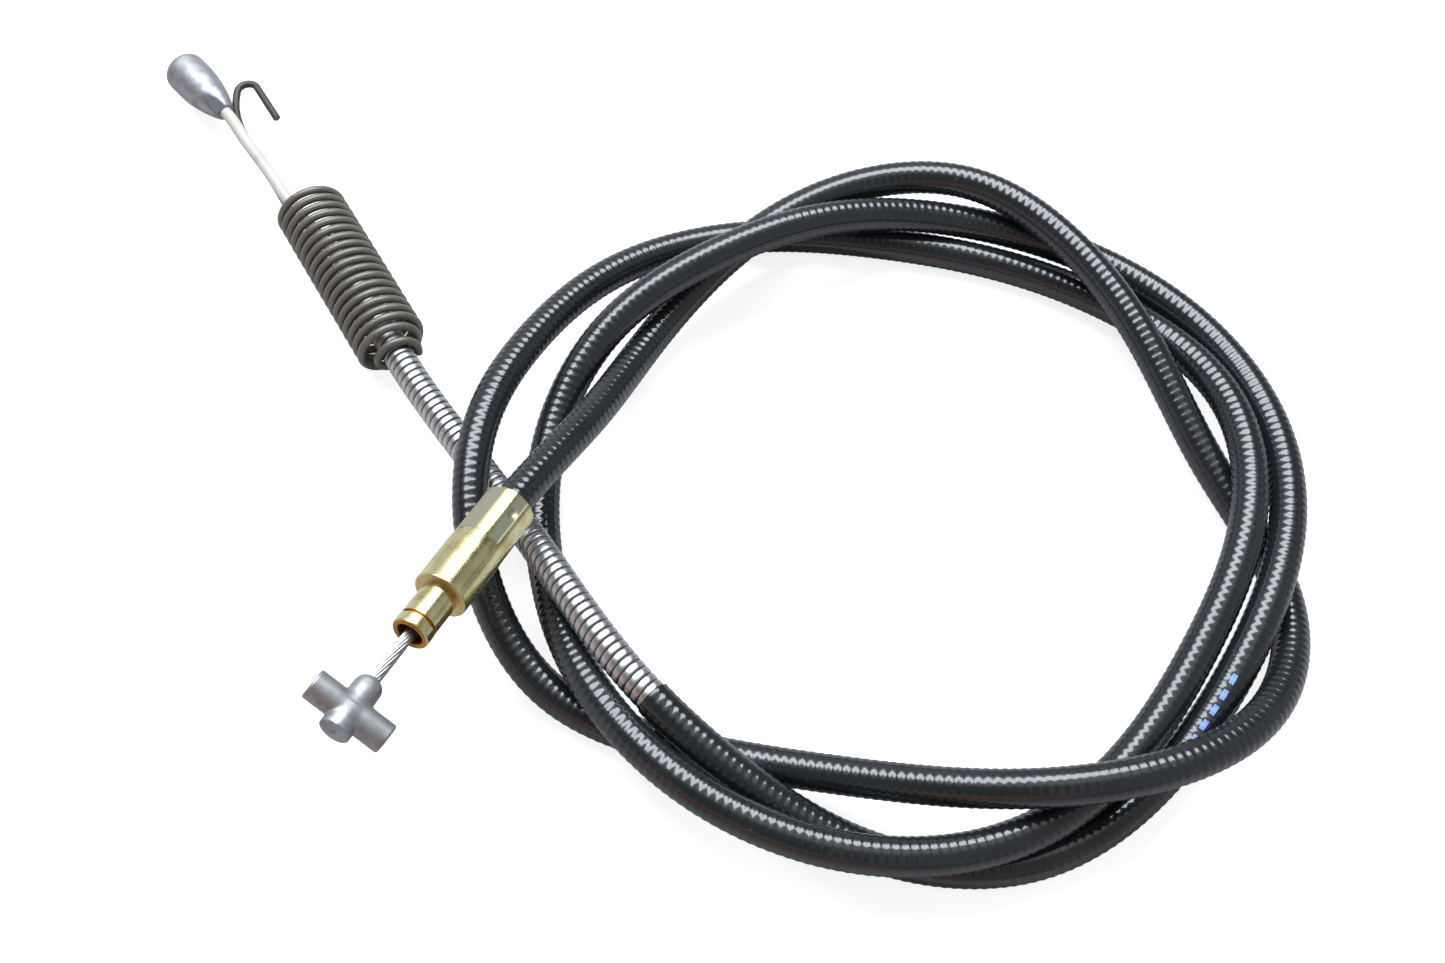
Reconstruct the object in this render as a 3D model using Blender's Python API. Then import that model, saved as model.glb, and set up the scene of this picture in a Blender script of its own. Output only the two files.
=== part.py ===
"""Clutch cable, lying in a loose coil as it comes out of its packet.

A steel inner wire runs inside a spiral-wound steel conduit. Most of the conduit is covered
by a black plastic jacket, which ends in a crimped ferrule with a grooved neck. There the
bare wire carries a cast T nipple. At the other end the conduit is bare and holds a return
spring with a hook, and the coated wire carries a cast bullet nipple.
The wire slides through the conduit: the T nipple goes in as the bullet nipple comes out.
Sizes are in metres through MM. +Z is up and the coil lies on z = 0.
"""
import math

import bmesh
import bpy
import numpy as np
from mathutils import Matrix, Vector

MM = 0.001
CLEARANCE = 0.3 * MM

# Inner wire
WIRE_D = 2.5 * MM
COATED_WIRE_D = 3.0 * MM
WIRE_PLAY = 0.35 * MM

# Spiral conduit and its jacket
JACKET_OD = 8.0 * MM
JACKET_WALL = 0.4 * MM
JACKET_FIT = 0.25 * MM
RIB_HEIGHT = 0.25 * MM
RIB_PITCH = 1.87 * MM
BARE_LENGTH = 107.0 * MM
CORD_SIDES = 8
CORD_STEP = 20.4 * MM
RIB_RINGS = 3

# Ferrule, measured along its axis from the rear rim
SLEEVE_LENGTH = 27.0 * MM
SLEEVE_OD = 11.6 * MM
SLEEVE_REAR_OD = 11.3 * MM
CRIMP_LENGTH = 12.0 * MM
CRIMP_FLARE = 3.0 * MM
SLEEVE_EDGE = 0.6 * MM
SLEEVE_FLOOR = 1.7 * MM
NECK_OD = 7.8 * MM
NECK_LENGTH = 10.8 * MM
GROOVE_DEPTH = 0.4 * MM
GROOVE_WIDTH = 0.8 * MM
LIP_LENGTH = 2.7 * MM
LIP_OD = 8.0 * MM
LIP_EDGE = 0.8 * MM
MOUTH_BORE = 5.6 * MM
MOUTH_CHAMFER = 0.4 * MM
FLAT_DISTANCE = 5.2 * MM
FLAT_LENGTH = 12.5 * MM
FLAT_ANGLE = 120.0
SIDE_FLAT_DISTANCE = 5.3 * MM
SIDE_FLAT_WIDTH = 2.8 * MM
SIDE_FLAT_ANGLE = 52.0
DIMPLE_D = 2.6 * MM
DIMPLE_DEPTH = 0.5 * MM
DIMPLE_PLACE = 4.6 * MM
FERRULE_SIDES = 28

# T nipple, cast on the wire
BAR_LENGTH = 17.2 * MM
BAR_D = 6.2 * MM
BAR_CHAMFER = 0.5 * MM
BAR_ROLL = -25.0
REAR_BOSS_D = 5.8 * MM
REAR_BOSS_REACH = 8.0 * MM
REAR_BOSS_DOME = 2.3 * MM
FRONT_BOSS_D = 6.4 * MM
FRONT_BOSS_REACH = 5.0 * MM
FRONT_DIMPLE_D = 1.0 * MM
FRONT_DIMPLE_DEPTH = 0.4 * MM
TEE_SIDES = 20
EXPOSED_WIRE = 11.7 * MM

# Bullet nipple, cast on the coated wire
BULLET_D = 10.8 * MM
BULLET_LENGTH = 20.4 * MM
BULLET_NECK_D = 4.6 * MM
BULLET_NOSE = 15.0 * MM
BULLET_SWELL = 0.85
BULLET_EDGE = 2.2 * MM
BULLET_GRIP = 9.0 * MM
BULLET_FLAT_DISTANCE = 3.9 * MM
BULLET_FLAT_TILT = 24.0
BULLET_FLAT_ROLL = 62.0
BULLET_FLAT_PLACE = 5.5 * MM
BULLET_SIDES = 24
BULLET_RINGS = 8
HOLE_SIDES = 12

# Return spring with its hook
SPRING_OD = 17.2 * MM
SPRING_WIRE = 1.9 * MM
SPRING_PITCH = 2.73 * MM
SPRING_TURNS = 18.6
SPRING_START = -20.0
CLOSED_TURNS = 0.7
OPENING_TURNS = 0.8
COIL_STEPS = 12
WIRE_SIDES = 6
CONDUIT_IN_SPRING = 26.0 * MM
HOOK_SHANK = 31.5 * MM
HOOK_LEAN = 15.2 * MM
HOOK_LEAN_TURN = 32.0
HOOK_BEND_RADIUS = 2.6 * MM
HOOK_BEND_TURN = 147.0
HOOK_LEG = 12.5 * MM
HOOK_OFFSET = 4.0 * MM
HOOK_AIM = 0.0

# Travel of the wire: the T nipple's boss stops just short of the ferrule's lip
WIRE_TRAVEL = EXPOSED_WIRE - CLEARANCE
WIRE_START = 2.0 * MM
WIRE_END = 3.0 * MM
SLIDE_MARK = 10.0 * MM

# Where things lie. The route is a list of points chosen along the cable, in millimetres.
ORIGIN_SHIFT = Vector((19.86, -11.94, -0.17)) * MM
FERRULE_REAR = (-55.7, -23.8, 29.0)
FERRULE_AIM = (-0.429, -0.875, 0.225)
SPRING_FOOT = (-86.5, 26.3)
SPRING_AIM = 121.0
ROUTE = (
    (-40.5, 6, 17.5), (-27, 34.5, 9), (-7, 58, 11.5), (17, 72.5, 14),
    (46.5, 73, 16.5), (68.5, 55.5, 17), (84.5, 29, 14), (97, -1, 7.5),
    (108.5, -29.5, 5), (99.5, -61, 13.5), (72, -78, 20.5), (42, -80.5, 18),
    (12.5, -75, 10), (-19, -67.5, 5), (-48.5, -54.5, 5.5), (-64, -28.5, 14),
    (-65, 2.5, 18.5), (-55.5, 28.5, 14.5), (-37, 52.5, 8.5), (-7, 65.5, 4.5),
    (25.5, 64, 4.5), (57, 56.5, 4.5), (84.5, 39.5, 7.5), (101.5, 13, 13),
    (101, -18, 15.5), (87, -48, 13), (68.5, -72.5, 10.5), (44, -89, 12.5),
    (12, -92, 15), (-17.5, -80, 16), (-39.5, -56, 13), (-50, -27.5, 7),
    (-51, 4, 8), (-38.5, 30, 15), (-12.5, 49.5, 19), (14.5, 62, 16.5),
    (44.5, 66.5, 10), (74.5, 58, 7.5), (98.5, 37.5, 8.5), (111, 10, 10.5),
    (109.5, -20, 13.5), (95.5, -50.5, 12.5), (77, -74, 6), (50.5, -90.5, 4.5),
    (18.5, -89.5, 6), (-8.5, -76, 12.5), (-31, -55.5, 17), (-49.5, -29, 15.5),
    (-68, -0.5, 9),
)
TAIL_ROUTE = ((-119.0, 73.8), (-126.3, 84.6), (-133.6, 95.0))
BULLET_NECK = (-139.0, 102.8)
BULLET_AIM = 132.0

# Sizes that follow
BORE_D = COATED_WIRE_D + 2 * WIRE_PLAY
JACKET_BORE = JACKET_OD - 2 * JACKET_WALL
CONDUIT_OD = JACKET_BORE - 2 * JACKET_FIT
CREST_OD = CONDUIT_OD + 2 * RIB_HEIGHT
CAVITY_D = JACKET_OD + 2 * CLEARANCE
CAVITY_DEPTH = SLEEVE_LENGTH - SLEEVE_FLOOR
CORD_START = CAVITY_DEPTH - CLEARANCE
FERRULE_LENGTH = SLEEVE_LENGTH + NECK_LENGTH
TEE_PLACE = FERRULE_LENGTH + EXPOSED_WIRE + REAR_BOSS_REACH
SPRING_RADIUS = (SPRING_OD - SPRING_WIRE) / 2
SPRING_CLOSED_RADIUS = (CREST_OD + SPRING_WIRE) / 2 + CLEARANCE
SPRING_HEIGHT = SPRING_OD / 2


def clear_scene():
    """Remove whatever the scene holds."""
    for obj in list(bpy.data.objects):
        bpy.data.objects.remove(obj, do_unlink=True)


def make_material(name, rgb, roughness, metallic):
    """A Principled material of one colour."""
    material = bpy.data.materials.new(name)
    material.use_nodes = True
    shader = material.node_tree.nodes["Principled BSDF"]
    shader.inputs["Base Color"].default_value = (*rgb, 1.0)
    shader.inputs["Roughness"].default_value = roughness
    shader.inputs["Metallic"].default_value = metallic
    return material


def layout_point(x, y, z):
    """A point of the layout, given in millimetres, in the part's own frame."""
    return Vector((x, y, z)) * MM + ORIGIN_SHIFT


def axis_frame(origin, direction):
    """A frame at origin with Z along direction and Y as near upright as it can be."""
    z = Vector(direction).normalized()
    x = Vector((0, 0, 1)).cross(z).normalized()
    y = z.cross(x)
    rotation = Matrix((x, y, z)).transposed().to_4x4()
    return Matrix.Translation(origin) @ rotation


def heading(degrees):
    """A level direction, measured from +X towards +Y."""
    angle = math.radians(degrees)
    return Vector((math.cos(angle), math.sin(angle), 0.0))


def smooth_curve(points, start_direction, end_direction, samples=4000):
    """A cubic curve through the points with set end directions, sampled finely.

    Each span is a cubic with matching slope and curvature at the points, so its slopes
    solve one linear system.
    """
    p = np.array([tuple(point) for point in points])
    h = np.linalg.norm(np.diff(p, axis=0), axis=1)
    knots = np.concatenate(([0.0], np.cumsum(h)))
    count = len(p)
    system = np.eye(count)
    target = np.zeros((count, 3))
    target[0] = tuple(start_direction)
    target[-1] = tuple(end_direction)
    for i in range(1, count - 1):
        system[i, i - 1:i + 2] = h[i], 2 * (h[i - 1] + h[i]), h[i - 1]
        after = h[i - 1] * (p[i + 1] - p[i]) / h[i]
        before = h[i] * (p[i] - p[i - 1]) / h[i - 1]
        target[i] = 3 * (after + before)
    slope = np.linalg.solve(system, target)
    at = np.linspace(0.0, knots[-1], samples)
    span = np.clip(np.searchsorted(knots, at, side="right") - 1, 0, count - 2)
    t = ((at - knots[span]) / h[span])[:, None]
    width = h[span][:, None]
    curve = (1 + 2 * t) * (1 - t) ** 2 * p[span] + t * t * (3 - 2 * t) * p[span + 1]
    curve += width * t * (1 - t) ** 2 * slope[span]
    curve += width * t * t * (t - 1) * slope[span + 1]
    return curve


def arc_lengths(curve):
    """Distance along a sampled curve at each of its points."""
    return np.concatenate(([0.0], np.cumsum(np.linalg.norm(np.diff(curve, axis=0), axis=1))))


def resample(curve, distances):
    """Points of a sampled curve at the given distances along it."""
    along = arc_lengths(curve)
    return np.stack([np.interp(distances, along, curve[:, k]) for k in range(3)], axis=1)


def even_distances(start, end, step):
    """Distances from start to end, about a step apart."""
    return np.linspace(start, end, max(2, round((end - start) / step) + 1))


def path_tangents(path):
    """Unit directions along a path."""
    tangent = np.gradient(path, axis=0)
    return tangent / np.linalg.norm(tangent, axis=1)[:, None]


def level_rings(path, radius, sides):
    """Rings square to a path that never stands upright, with a corner straight down.

    The radius may be an array of one value for each ring and corner.
    """
    tangent = path_tangents(path)
    side = np.cross(tangent, (0.0, 0.0, 1.0))
    side /= np.linalg.norm(side, axis=1)[:, None]
    up = np.cross(side, tangent)
    angle = np.arange(sides) * 2 * math.pi / sides - math.pi / 2
    radius = np.broadcast_to(radius, (len(path), sides))[:, :, None]
    spoke = side[:, None] * np.cos(angle)[None, :, None]
    spoke += up[:, None] * np.sin(angle)[None, :, None]
    return path[:, None] + radius * spoke


def carried_rings(path, radius, sides):
    """Rings square to a path of any shape, their first spoke carried along without twist."""
    tangent = path_tangents(path)
    first = np.cross(tangent[0], (0.3, 0.2, 1.0))
    first /= np.linalg.norm(first)
    angle = np.arange(sides) * 2 * math.pi / sides
    rings = []
    for point, direction in zip(path, tangent):
        first = first - direction * (first @ direction)
        first /= np.linalg.norm(first)
        second = np.cross(direction, first)
        spoke = np.cos(angle)[:, None] * first + np.sin(angle)[:, None] * second
        rings.append(point + radius * spoke)
    return np.array(rings)


def skin_rings(bm, rings):
    """Add rings of points and the quads between them; return the end rings' vertices."""
    rows = [[bm.verts.new(tuple(point)) for point in ring] for ring in rings]
    sides = len(rows[0])
    for low, high in zip(rows, rows[1:]):
        for j in range(sides):
            k = (j + 1) % sides
            bm.faces.new((low[j], low[k], high[k], high[j]))
    return rows[0], rows[-1]


def join_rings(bm, one, other):
    """Close the flat space between two rings of as many points."""
    sides = len(one)
    for j in range(sides):
        k = (j + 1) % sides
        bm.faces.new((one[j], one[k], other[k], other[j]))


def add_object(name, bm, material, frame=None, parent=None, smooth_angle=35.0):
    """Make an object of a bmesh, with outward faces, smooth shading and sharp edges kept."""
    bmesh.ops.recalc_face_normals(bm, faces=bm.faces[:])
    mesh = bpy.data.meshes.new(name)
    bm.to_mesh(mesh)
    bm.free()
    mesh.shade_smooth()
    mesh.set_sharp_from_angle(angle=math.radians(smooth_angle))
    obj = bpy.data.objects.new(name, mesh)
    bpy.context.collection.objects.link(obj)
    obj.data.materials.append(material)
    place(obj, frame, parent)
    return obj


def place(obj, frame, parent):
    """Put an object in a frame of the part, under its parent if it has one."""
    frame = frame or Matrix.Identity(4)
    if parent is not None:
        obj.parent = parent
        frame = parent.matrix_world.inverted() @ frame
    obj.matrix_local = frame


def add_slide(name, frame):
    """An empty that carries a moving end of the wire; its Z is the slide's axis."""
    slide = bpy.data.objects.new(name, None)
    slide.empty_display_size = SLIDE_MARK
    bpy.context.collection.objects.link(slide)
    slide.matrix_world = frame
    bpy.context.view_layer.update()
    return slide


def add_boolean(name, bm, frame, target, operation="DIFFERENCE"):
    """A hidden body that a Boolean takes out of the target, or welds on to it."""
    mesh = bpy.data.meshes.new(name)
    bmesh.ops.recalc_face_normals(bm, faces=bm.faces[:])
    bm.to_mesh(mesh)
    bm.free()
    helper = bpy.data.objects.new(name, mesh)
    bpy.context.collection.objects.link(helper)
    helper.matrix_world = frame
    helper.hide_render = True
    helper.display_type = "WIRE"
    step = target.modifiers.new(name, "BOOLEAN")
    step.operation = operation
    step.solver = "EXACT"
    step.object = helper


def turned(profile, segments):
    """A closed body turned about Z from a list of (radius, height) points.

    A profile that starts and ends on the axis is solid; one that returns to its first
    point is a tube.
    """
    bm = bmesh.new()
    closed = profile[0] == profile[-1]
    outline = profile[:-1] if closed else profile
    rows = []
    for radius, height in outline:
        if radius < 1e-7:
            rows.append([bm.verts.new((0, 0, height))])
            continue
        ring = []
        for j in range(segments):
            angle = 2 * math.pi * j / segments
            ring.append(bm.verts.new((radius * math.cos(angle), radius * math.sin(angle), height)))
        rows.append(ring)
    pairs = list(zip(rows, rows[1:]))
    if closed:
        pairs.append((rows[-1], rows[0]))
    for low, high in pairs:
        for j in range(segments):
            k = (j + 1) % segments
            if len(low) == 1:
                bm.faces.new((low[0], high[k], high[j]))
            elif len(high) == 1:
                bm.faces.new((low[j], low[k], high[0]))
            else:
                bm.faces.new((low[j], low[k], high[k], high[j]))
    return bm


def arc_profile(centre_r, centre_z, radius, start, end, steps):
    """Points of a rounded edge, from one angle to another, for a turned profile."""
    points = []
    for i in range(steps + 1):
        angle = math.radians(start + (end - start) * i / steps)
        points.append((centre_r + radius * math.cos(angle), centre_z + radius * math.sin(angle)))
    return points


def add_cord(name, path, diameter, material, frame=None, parent=None):
    """A plain round wire: a curve with a bevel and filled caps through the path's points."""
    curve = bpy.data.curves.new(name, "CURVE")
    curve.dimensions = "3D"
    curve.bevel_depth = diameter / 2
    curve.bevel_resolution = 2
    curve.use_fill_caps = True
    spline = curve.splines.new("POLY")
    spline.points.add(len(path) - 1)
    for slot, point in zip(spline.points, path):
        slot.co = (*point, 1.0)
    spline.use_smooth = True
    obj = bpy.data.objects.new(name, curve)
    bpy.context.collection.objects.link(obj)
    obj.data.materials.append(material)
    place(obj, frame, parent)


def along_axis(frame, *distances):
    """Points on a frame's Z axis."""
    return [np.array(frame @ Vector((0, 0, distance))) for distance in distances]


def cable_run(ferrule_frame, spring_frame):
    """The cable's centre line: (points in steps, fine bare stretch, index of the jacket's end).

    It starts inside the ferrule, follows the route and ends inside the spring.
    """
    rear, = along_axis(ferrule_frame, 0.0)
    foot, = along_axis(spring_frame, 0.0)
    into_route = -(ferrule_frame.col[2].xyz)
    into_spring = spring_frame.col[2].xyz
    through = [rear, *(layout_point(*point) for point in ROUTE), foot]
    curve = smooth_curve(through, into_route, into_spring)
    total = arc_lengths(curve)[-1]
    jacket_end = total - BARE_LENGTH
    covered = even_distances(0.0, jacket_end, CORD_STEP)
    bare = even_distances(jacket_end, total, CORD_STEP)
    steps = resample(curve, np.concatenate((covered, bare[1:])))
    steps = np.vstack((along_axis(ferrule_frame, CORD_START), steps))
    fine = resample(curve, even_distances(jacket_end + CLEARANCE, total, RIB_PITCH / RIB_RINGS))
    return steps, fine, len(covered)


def make_jacket(steps, jacket_end, material):
    """The black jacket: a thin tube over the conduit, from inside the ferrule to its cut end."""
    path = steps[:jacket_end + 1]
    bm = bmesh.new()
    outer = skin_rings(bm, level_rings(path, JACKET_OD / 2, CORD_SIDES))
    inner = skin_rings(bm, level_rings(path, JACKET_BORE / 2, CORD_SIDES))
    join_rings(bm, outer[0], inner[0])
    join_rings(bm, outer[1], inner[1])
    add_object("jacket", bm, material, smooth_angle=60.0)


def rib_radii(count):
    """Outer radii of the bare stretch: one raised turn for each pitch, on a screw line."""
    turn = np.arange(count)[:, None] / RIB_RINGS + np.arange(CORD_SIDES)[None, :] / CORD_SIDES
    wave = 0.5 - 0.5 * np.cos(2 * math.pi * turn)
    return CONDUIT_OD / 2 + RIB_HEIGHT * wave


def make_conduit(steps, fine, jacket_end, spring_frame, material):
    """The spiral conduit: plain under the jacket, and with its turns where it is bare."""
    tip = along_axis(spring_frame, CONDUIT_IN_SPRING)
    covered = level_rings(steps[:jacket_end + 1], CONDUIT_OD / 2, CORD_SIDES)
    ribbed = level_rings(fine, rib_radii(len(fine)), CORD_SIDES)
    bore_path = np.vstack((steps, tip))
    end_ring = level_rings(bore_path, CONDUIT_OD / 2, CORD_SIDES)[-1:]
    bm = bmesh.new()
    outer = skin_rings(bm, np.concatenate((covered, ribbed, end_ring)))
    inner = skin_rings(bm, level_rings(bore_path, BORE_D / 2, CORD_SIDES))
    join_rings(bm, outer[0], inner[0])
    join_rings(bm, outer[1], inner[1])
    add_object("spiral_conduit", bm, material, smooth_angle=60.0)


def make_inner_wire(steps, ferrule_frame, spring_frame, material):
    """The hidden run of the inner wire, between its two visible ends."""
    start = along_axis(ferrule_frame, WIRE_START)
    end = along_axis(spring_frame, WIRE_END)
    add_cord("inner_wire", np.vstack((start, steps[1:], end)), WIRE_D, material)


def ferrule_profile():
    """Half section of the ferrule: crimped sleeve, shoulder, neck, groove, lip and bore."""
    rear = SLEEVE_REAR_OD / 2
    sleeve = SLEEVE_OD / 2
    neck = NECK_OD / 2
    lip = LIP_OD / 2
    bore = MOUTH_BORE / 2
    cavity = CAVITY_D / 2
    groove_front = FERRULE_LENGTH - LIP_LENGTH
    profile = [(cavity, 0.0), (rear, 0.0), (rear, CRIMP_LENGTH)]
    profile += [(sleeve, CRIMP_LENGTH + CRIMP_FLARE)]
    profile += arc_profile(sleeve - SLEEVE_EDGE, SLEEVE_LENGTH - SLEEVE_EDGE, SLEEVE_EDGE, 0, 90, 3)
    profile += [(neck, SLEEVE_LENGTH), (neck, groove_front - GROOVE_WIDTH)]
    profile += [(neck - GROOVE_DEPTH, groove_front - GROOVE_WIDTH)]
    profile += [(neck - GROOVE_DEPTH, groove_front)]
    profile += [(lip, groove_front)]
    profile += arc_profile(lip - LIP_EDGE, FERRULE_LENGTH - LIP_EDGE, LIP_EDGE, 0, 90, 3)
    profile += [(bore + MOUTH_CHAMFER, FERRULE_LENGTH), (bore, FERRULE_LENGTH - MOUTH_CHAMFER)]
    profile += [(bore, CAVITY_DEPTH), (cavity, CAVITY_DEPTH), (cavity, 0.0)]
    return profile


def box_bmesh(size, centre):
    """A box of a given size about a centre."""
    bm = bmesh.new()
    bmesh.ops.create_cube(bm, size=1.0)
    bmesh.ops.scale(bm, vec=size, verts=bm.verts)
    bmesh.ops.translate(bm, vec=centre, verts=bm.verts)
    return bm


def rod_bmesh(diameter, low, high, segments, chamfer=0.0):
    """A rod about Z between two heights, with both rims chamfered if asked."""
    radius = diameter / 2
    profile = [(0.0, low), (radius - chamfer, low)]
    if chamfer > 0:
        profile += [(radius, low + chamfer), (radius, high - chamfer)]
    profile += [(radius - chamfer, high), (0.0, high)]
    return turned(profile, segments)


def make_ferrule(frame, material):
    """The crimped ferrule: one turned piece with two crimp flats and a round dimple."""
    ferrule = add_object("ferrule", turned(ferrule_profile(), FERRULE_SIDES), material, frame)
    depth = SLEEVE_OD
    wide = box_bmesh((depth, 2 * depth, 2 * FLAT_LENGTH), (FLAT_DISTANCE + depth / 2, 0, 0))
    turn = Matrix.Rotation(math.radians(FLAT_ANGLE), 4, "Z")
    add_boolean("crimp_flat", wide, frame @ turn, ferrule)
    side_size = (depth, SIDE_FLAT_WIDTH, 2 * FLAT_LENGTH)
    side = box_bmesh(side_size, (SIDE_FLAT_DISTANCE + depth / 2, 0, 0))
    side_turn = Matrix.Rotation(math.radians(SIDE_FLAT_ANGLE), 4, "Z")
    add_boolean("side_flat", side, frame @ side_turn, ferrule)
    bottom = SIDE_FLAT_DISTANCE - DIMPLE_DEPTH
    dimple = rod_bmesh(DIMPLE_D, bottom, bottom + depth, HOLE_SIDES)
    lay = Matrix.Translation((0, 0, DIMPLE_PLACE)) @ Matrix.Rotation(math.pi / 2, 4, "Y")
    add_boolean("dimple", dimple, frame @ side_turn @ lay, ferrule)


def make_tee(frame, slide, material):
    """The cast T nipple: a cross bar with a domed boss behind it and a flat boss in front."""
    roll = Matrix.Rotation(math.radians(BAR_ROLL), 4, "Z") @ Matrix.Rotation(math.pi / 2, 4, "Y")
    bar = rod_bmesh(BAR_D, -BAR_LENGTH / 2, BAR_LENGTH / 2, TEE_SIDES, BAR_CHAMFER)
    bar.transform(roll)
    tee = add_object("tee_nipple", bar, material, frame, slide)
    rear = REAR_BOSS_D / 2
    profile = [(0.0, 0.0), (rear, 0.0)]
    dome_centre = REAR_BOSS_DOME - REAR_BOSS_REACH
    profile += arc_profile(rear - REAR_BOSS_DOME, dome_centre, REAR_BOSS_DOME, 0, -90, 5)
    profile.append((0.0, -REAR_BOSS_REACH))
    add_boolean("rear_boss", turned(profile, TEE_SIDES), frame, tee, "UNION")
    front = rod_bmesh(FRONT_BOSS_D, 0.0, FRONT_BOSS_REACH, TEE_SIDES)
    add_boolean("front_boss", front, frame, tee, "UNION")
    socket = rod_bmesh(WIRE_D + 2 * CLEARANCE, -REAR_BOSS_REACH - BAR_D, CLEARANCE, HOLE_SIDES)
    add_boolean("wire_socket", socket, frame, tee)
    mark_top = FRONT_BOSS_REACH + FRONT_DIMPLE_D
    mark = rod_bmesh(FRONT_DIMPLE_D, FRONT_BOSS_REACH - FRONT_DIMPLE_DEPTH, mark_top, HOLE_SIDES)
    add_boolean("face_dimple", mark, frame, tee)


def make_bare_wire_end(ferrule_frame, slide, material):
    """The bare wire that shows at the ferrule, from inside the conduit into the T nipple."""
    tail = WIRE_START + WIRE_TRAVEL + CLEARANCE
    path = along_axis(Matrix.Identity(4), tail, FERRULE_LENGTH, TEE_PLACE)
    add_cord("bare_wire_end", path, WIRE_D, material, ferrule_frame, slide)


def bullet_profile():
    """Half section of the bullet nipple: neck, swelling nose, body, rounded end and socket."""
    neck = BULLET_NECK_D / 2
    body = BULLET_D / 2
    socket = COATED_WIRE_D / 2 + CLEARANCE
    socket_end = BULLET_GRIP + CLEARANCE
    profile = [(0.0, socket_end), (socket, socket_end), (socket, 0.0), (neck, 0.0)]
    for i in range(1, BULLET_RINGS + 1):
        share = i / BULLET_RINGS
        swell = math.sin(share * math.pi / 2) ** BULLET_SWELL
        profile.append((neck + (body - neck) * swell, BULLET_NOSE * share))
    profile += arc_profile(body - BULLET_EDGE, BULLET_LENGTH - BULLET_EDGE, BULLET_EDGE, 0, 90, 4)
    profile.append((0.0, BULLET_LENGTH))
    return profile


def make_bullet(frame, slide, material):
    """The cast bullet nipple, with a small flat on the side of its nose."""
    body = turned(bullet_profile(), BULLET_SIDES)
    bullet = add_object("bullet_nipple", body, material, frame, slide)
    depth = BULLET_D
    block = box_bmesh((depth, 2 * depth, depth), (BULLET_FLAT_DISTANCE + depth / 2, 0, 0))
    roll = Matrix.Rotation(math.radians(BULLET_FLAT_ROLL), 4, "Z")
    tilt = Matrix.Rotation(math.radians(BULLET_FLAT_TILT), 4, "Y")
    nose = Matrix.Translation((0, 0, BULLET_FLAT_PLACE))
    add_boolean("nose_flat", block, frame @ roll @ nose @ tilt, bullet)


def make_coated_wire_end(spring_frame, neck, slide, material):
    """The coated wire from inside the conduit, out through the spring, to the bullet nipple."""
    tail = WIRE_END + CLEARANCE
    straight = along_axis(spring_frame, tail, CONDUIT_IN_SPRING)
    bend_start, = along_axis(spring_frame, CONDUIT_IN_SPRING + COATED_WIRE_D)
    bends = [layout_point(x, y, SPRING_HEIGHT / MM) for x, y in TAIL_ROUTE]
    aim = heading(BULLET_AIM)
    curve = smooth_curve([bend_start, *bends, neck], spring_frame.col[2].xyz, aim, 400)
    length = arc_lengths(curve)[-1]
    bent = resample(curve, even_distances(0.0, length, 2 * COATED_WIRE_D))
    grip = np.array(neck + aim * BULLET_GRIP)
    path = np.vstack((straight, bent, grip))
    to_slide = slide.matrix_world.inverted()
    local = [to_slide @ Vector(point) for point in path]
    add_cord("coated_wire_end", local, COATED_WIRE_D, material, slide.matrix_world, slide)


def coil_path():
    """The spring's coil about Z: its first turn grips the conduit, then it opens to full size."""
    count = round(SPRING_TURNS * COIL_STEPS)
    turn = np.arange(count + 1) / COIL_STEPS
    opening = np.clip((turn - CLOSED_TURNS) / OPENING_TURNS, 0.0, 1.0)
    opening = opening * opening * (3 - 2 * opening)
    radius = SPRING_CLOSED_RADIUS + (SPRING_RADIUS - SPRING_CLOSED_RADIUS) * opening
    angle = math.radians(SPRING_START) + 2 * math.pi * turn
    height = SPRING_WIRE / 2 + SPRING_PITCH * turn
    # X of the frame points to the left, so the angle is taken from the right-hand side
    return np.stack((-radius * np.cos(angle), radius * np.sin(angle), height), axis=1)


def hook_path(start, aim):
    """The hook beyond the coil, in one level plane: shank, leaning part, bend and return leg.

    Each piece is (length, turn to the right in degrees, steps) and is walked in those steps.
    """
    bend = HOOK_BEND_RADIUS * math.radians(HOOK_BEND_TURN)
    pieces = (
        (HOOK_SHANK, 0.0, 4),
        (HOOK_LEAN, HOOK_LEAN_TURN, 5),
        (bend, HOOK_BEND_TURN, 8),
        (HOOK_LEG, 0.0, 2),
    )
    points = [start]
    direction = aim
    for length, turn, steps in pieces:
        for _ in range(steps):
            half = Matrix.Rotation(math.radians(-turn / steps / 2), 3, "Z")
            direction = half @ direction
            points.append(points[-1] + direction * (length / steps))
            direction = half @ direction
    return points


def make_spring(frame, material):
    """The return spring: a left-hand coil that grips the conduit, drawn out into a hook."""
    coil = [frame @ Vector(point) for point in coil_path()]
    top = coil_path()[-1][2]
    below_wire = -(COATED_WIRE_D + SPRING_WIRE) / 2 - CLEARANCE
    start = frame @ Vector((HOOK_OFFSET, below_wire, top + SPRING_PITCH))
    aim = Matrix.Rotation(math.radians(HOOK_AIM), 3, "Z") @ frame.col[2].xyz
    hook = hook_path(start, aim)
    turn_in = smooth_curve([coil[-1], hook[0]], coil[-1] - coil[-2], hook[1] - hook[0], 8)[1:-1]
    path = np.array([tuple(point) for point in [*coil, *turn_in, *hook]])
    bm = bmesh.new()
    first, last = skin_rings(bm, carried_rings(path, SPRING_WIRE / 2, WIRE_SIDES))
    bm.faces.new(first)
    bm.faces.new(last)
    add_object("return_spring", bm, material, smooth_angle=65.0)


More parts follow.
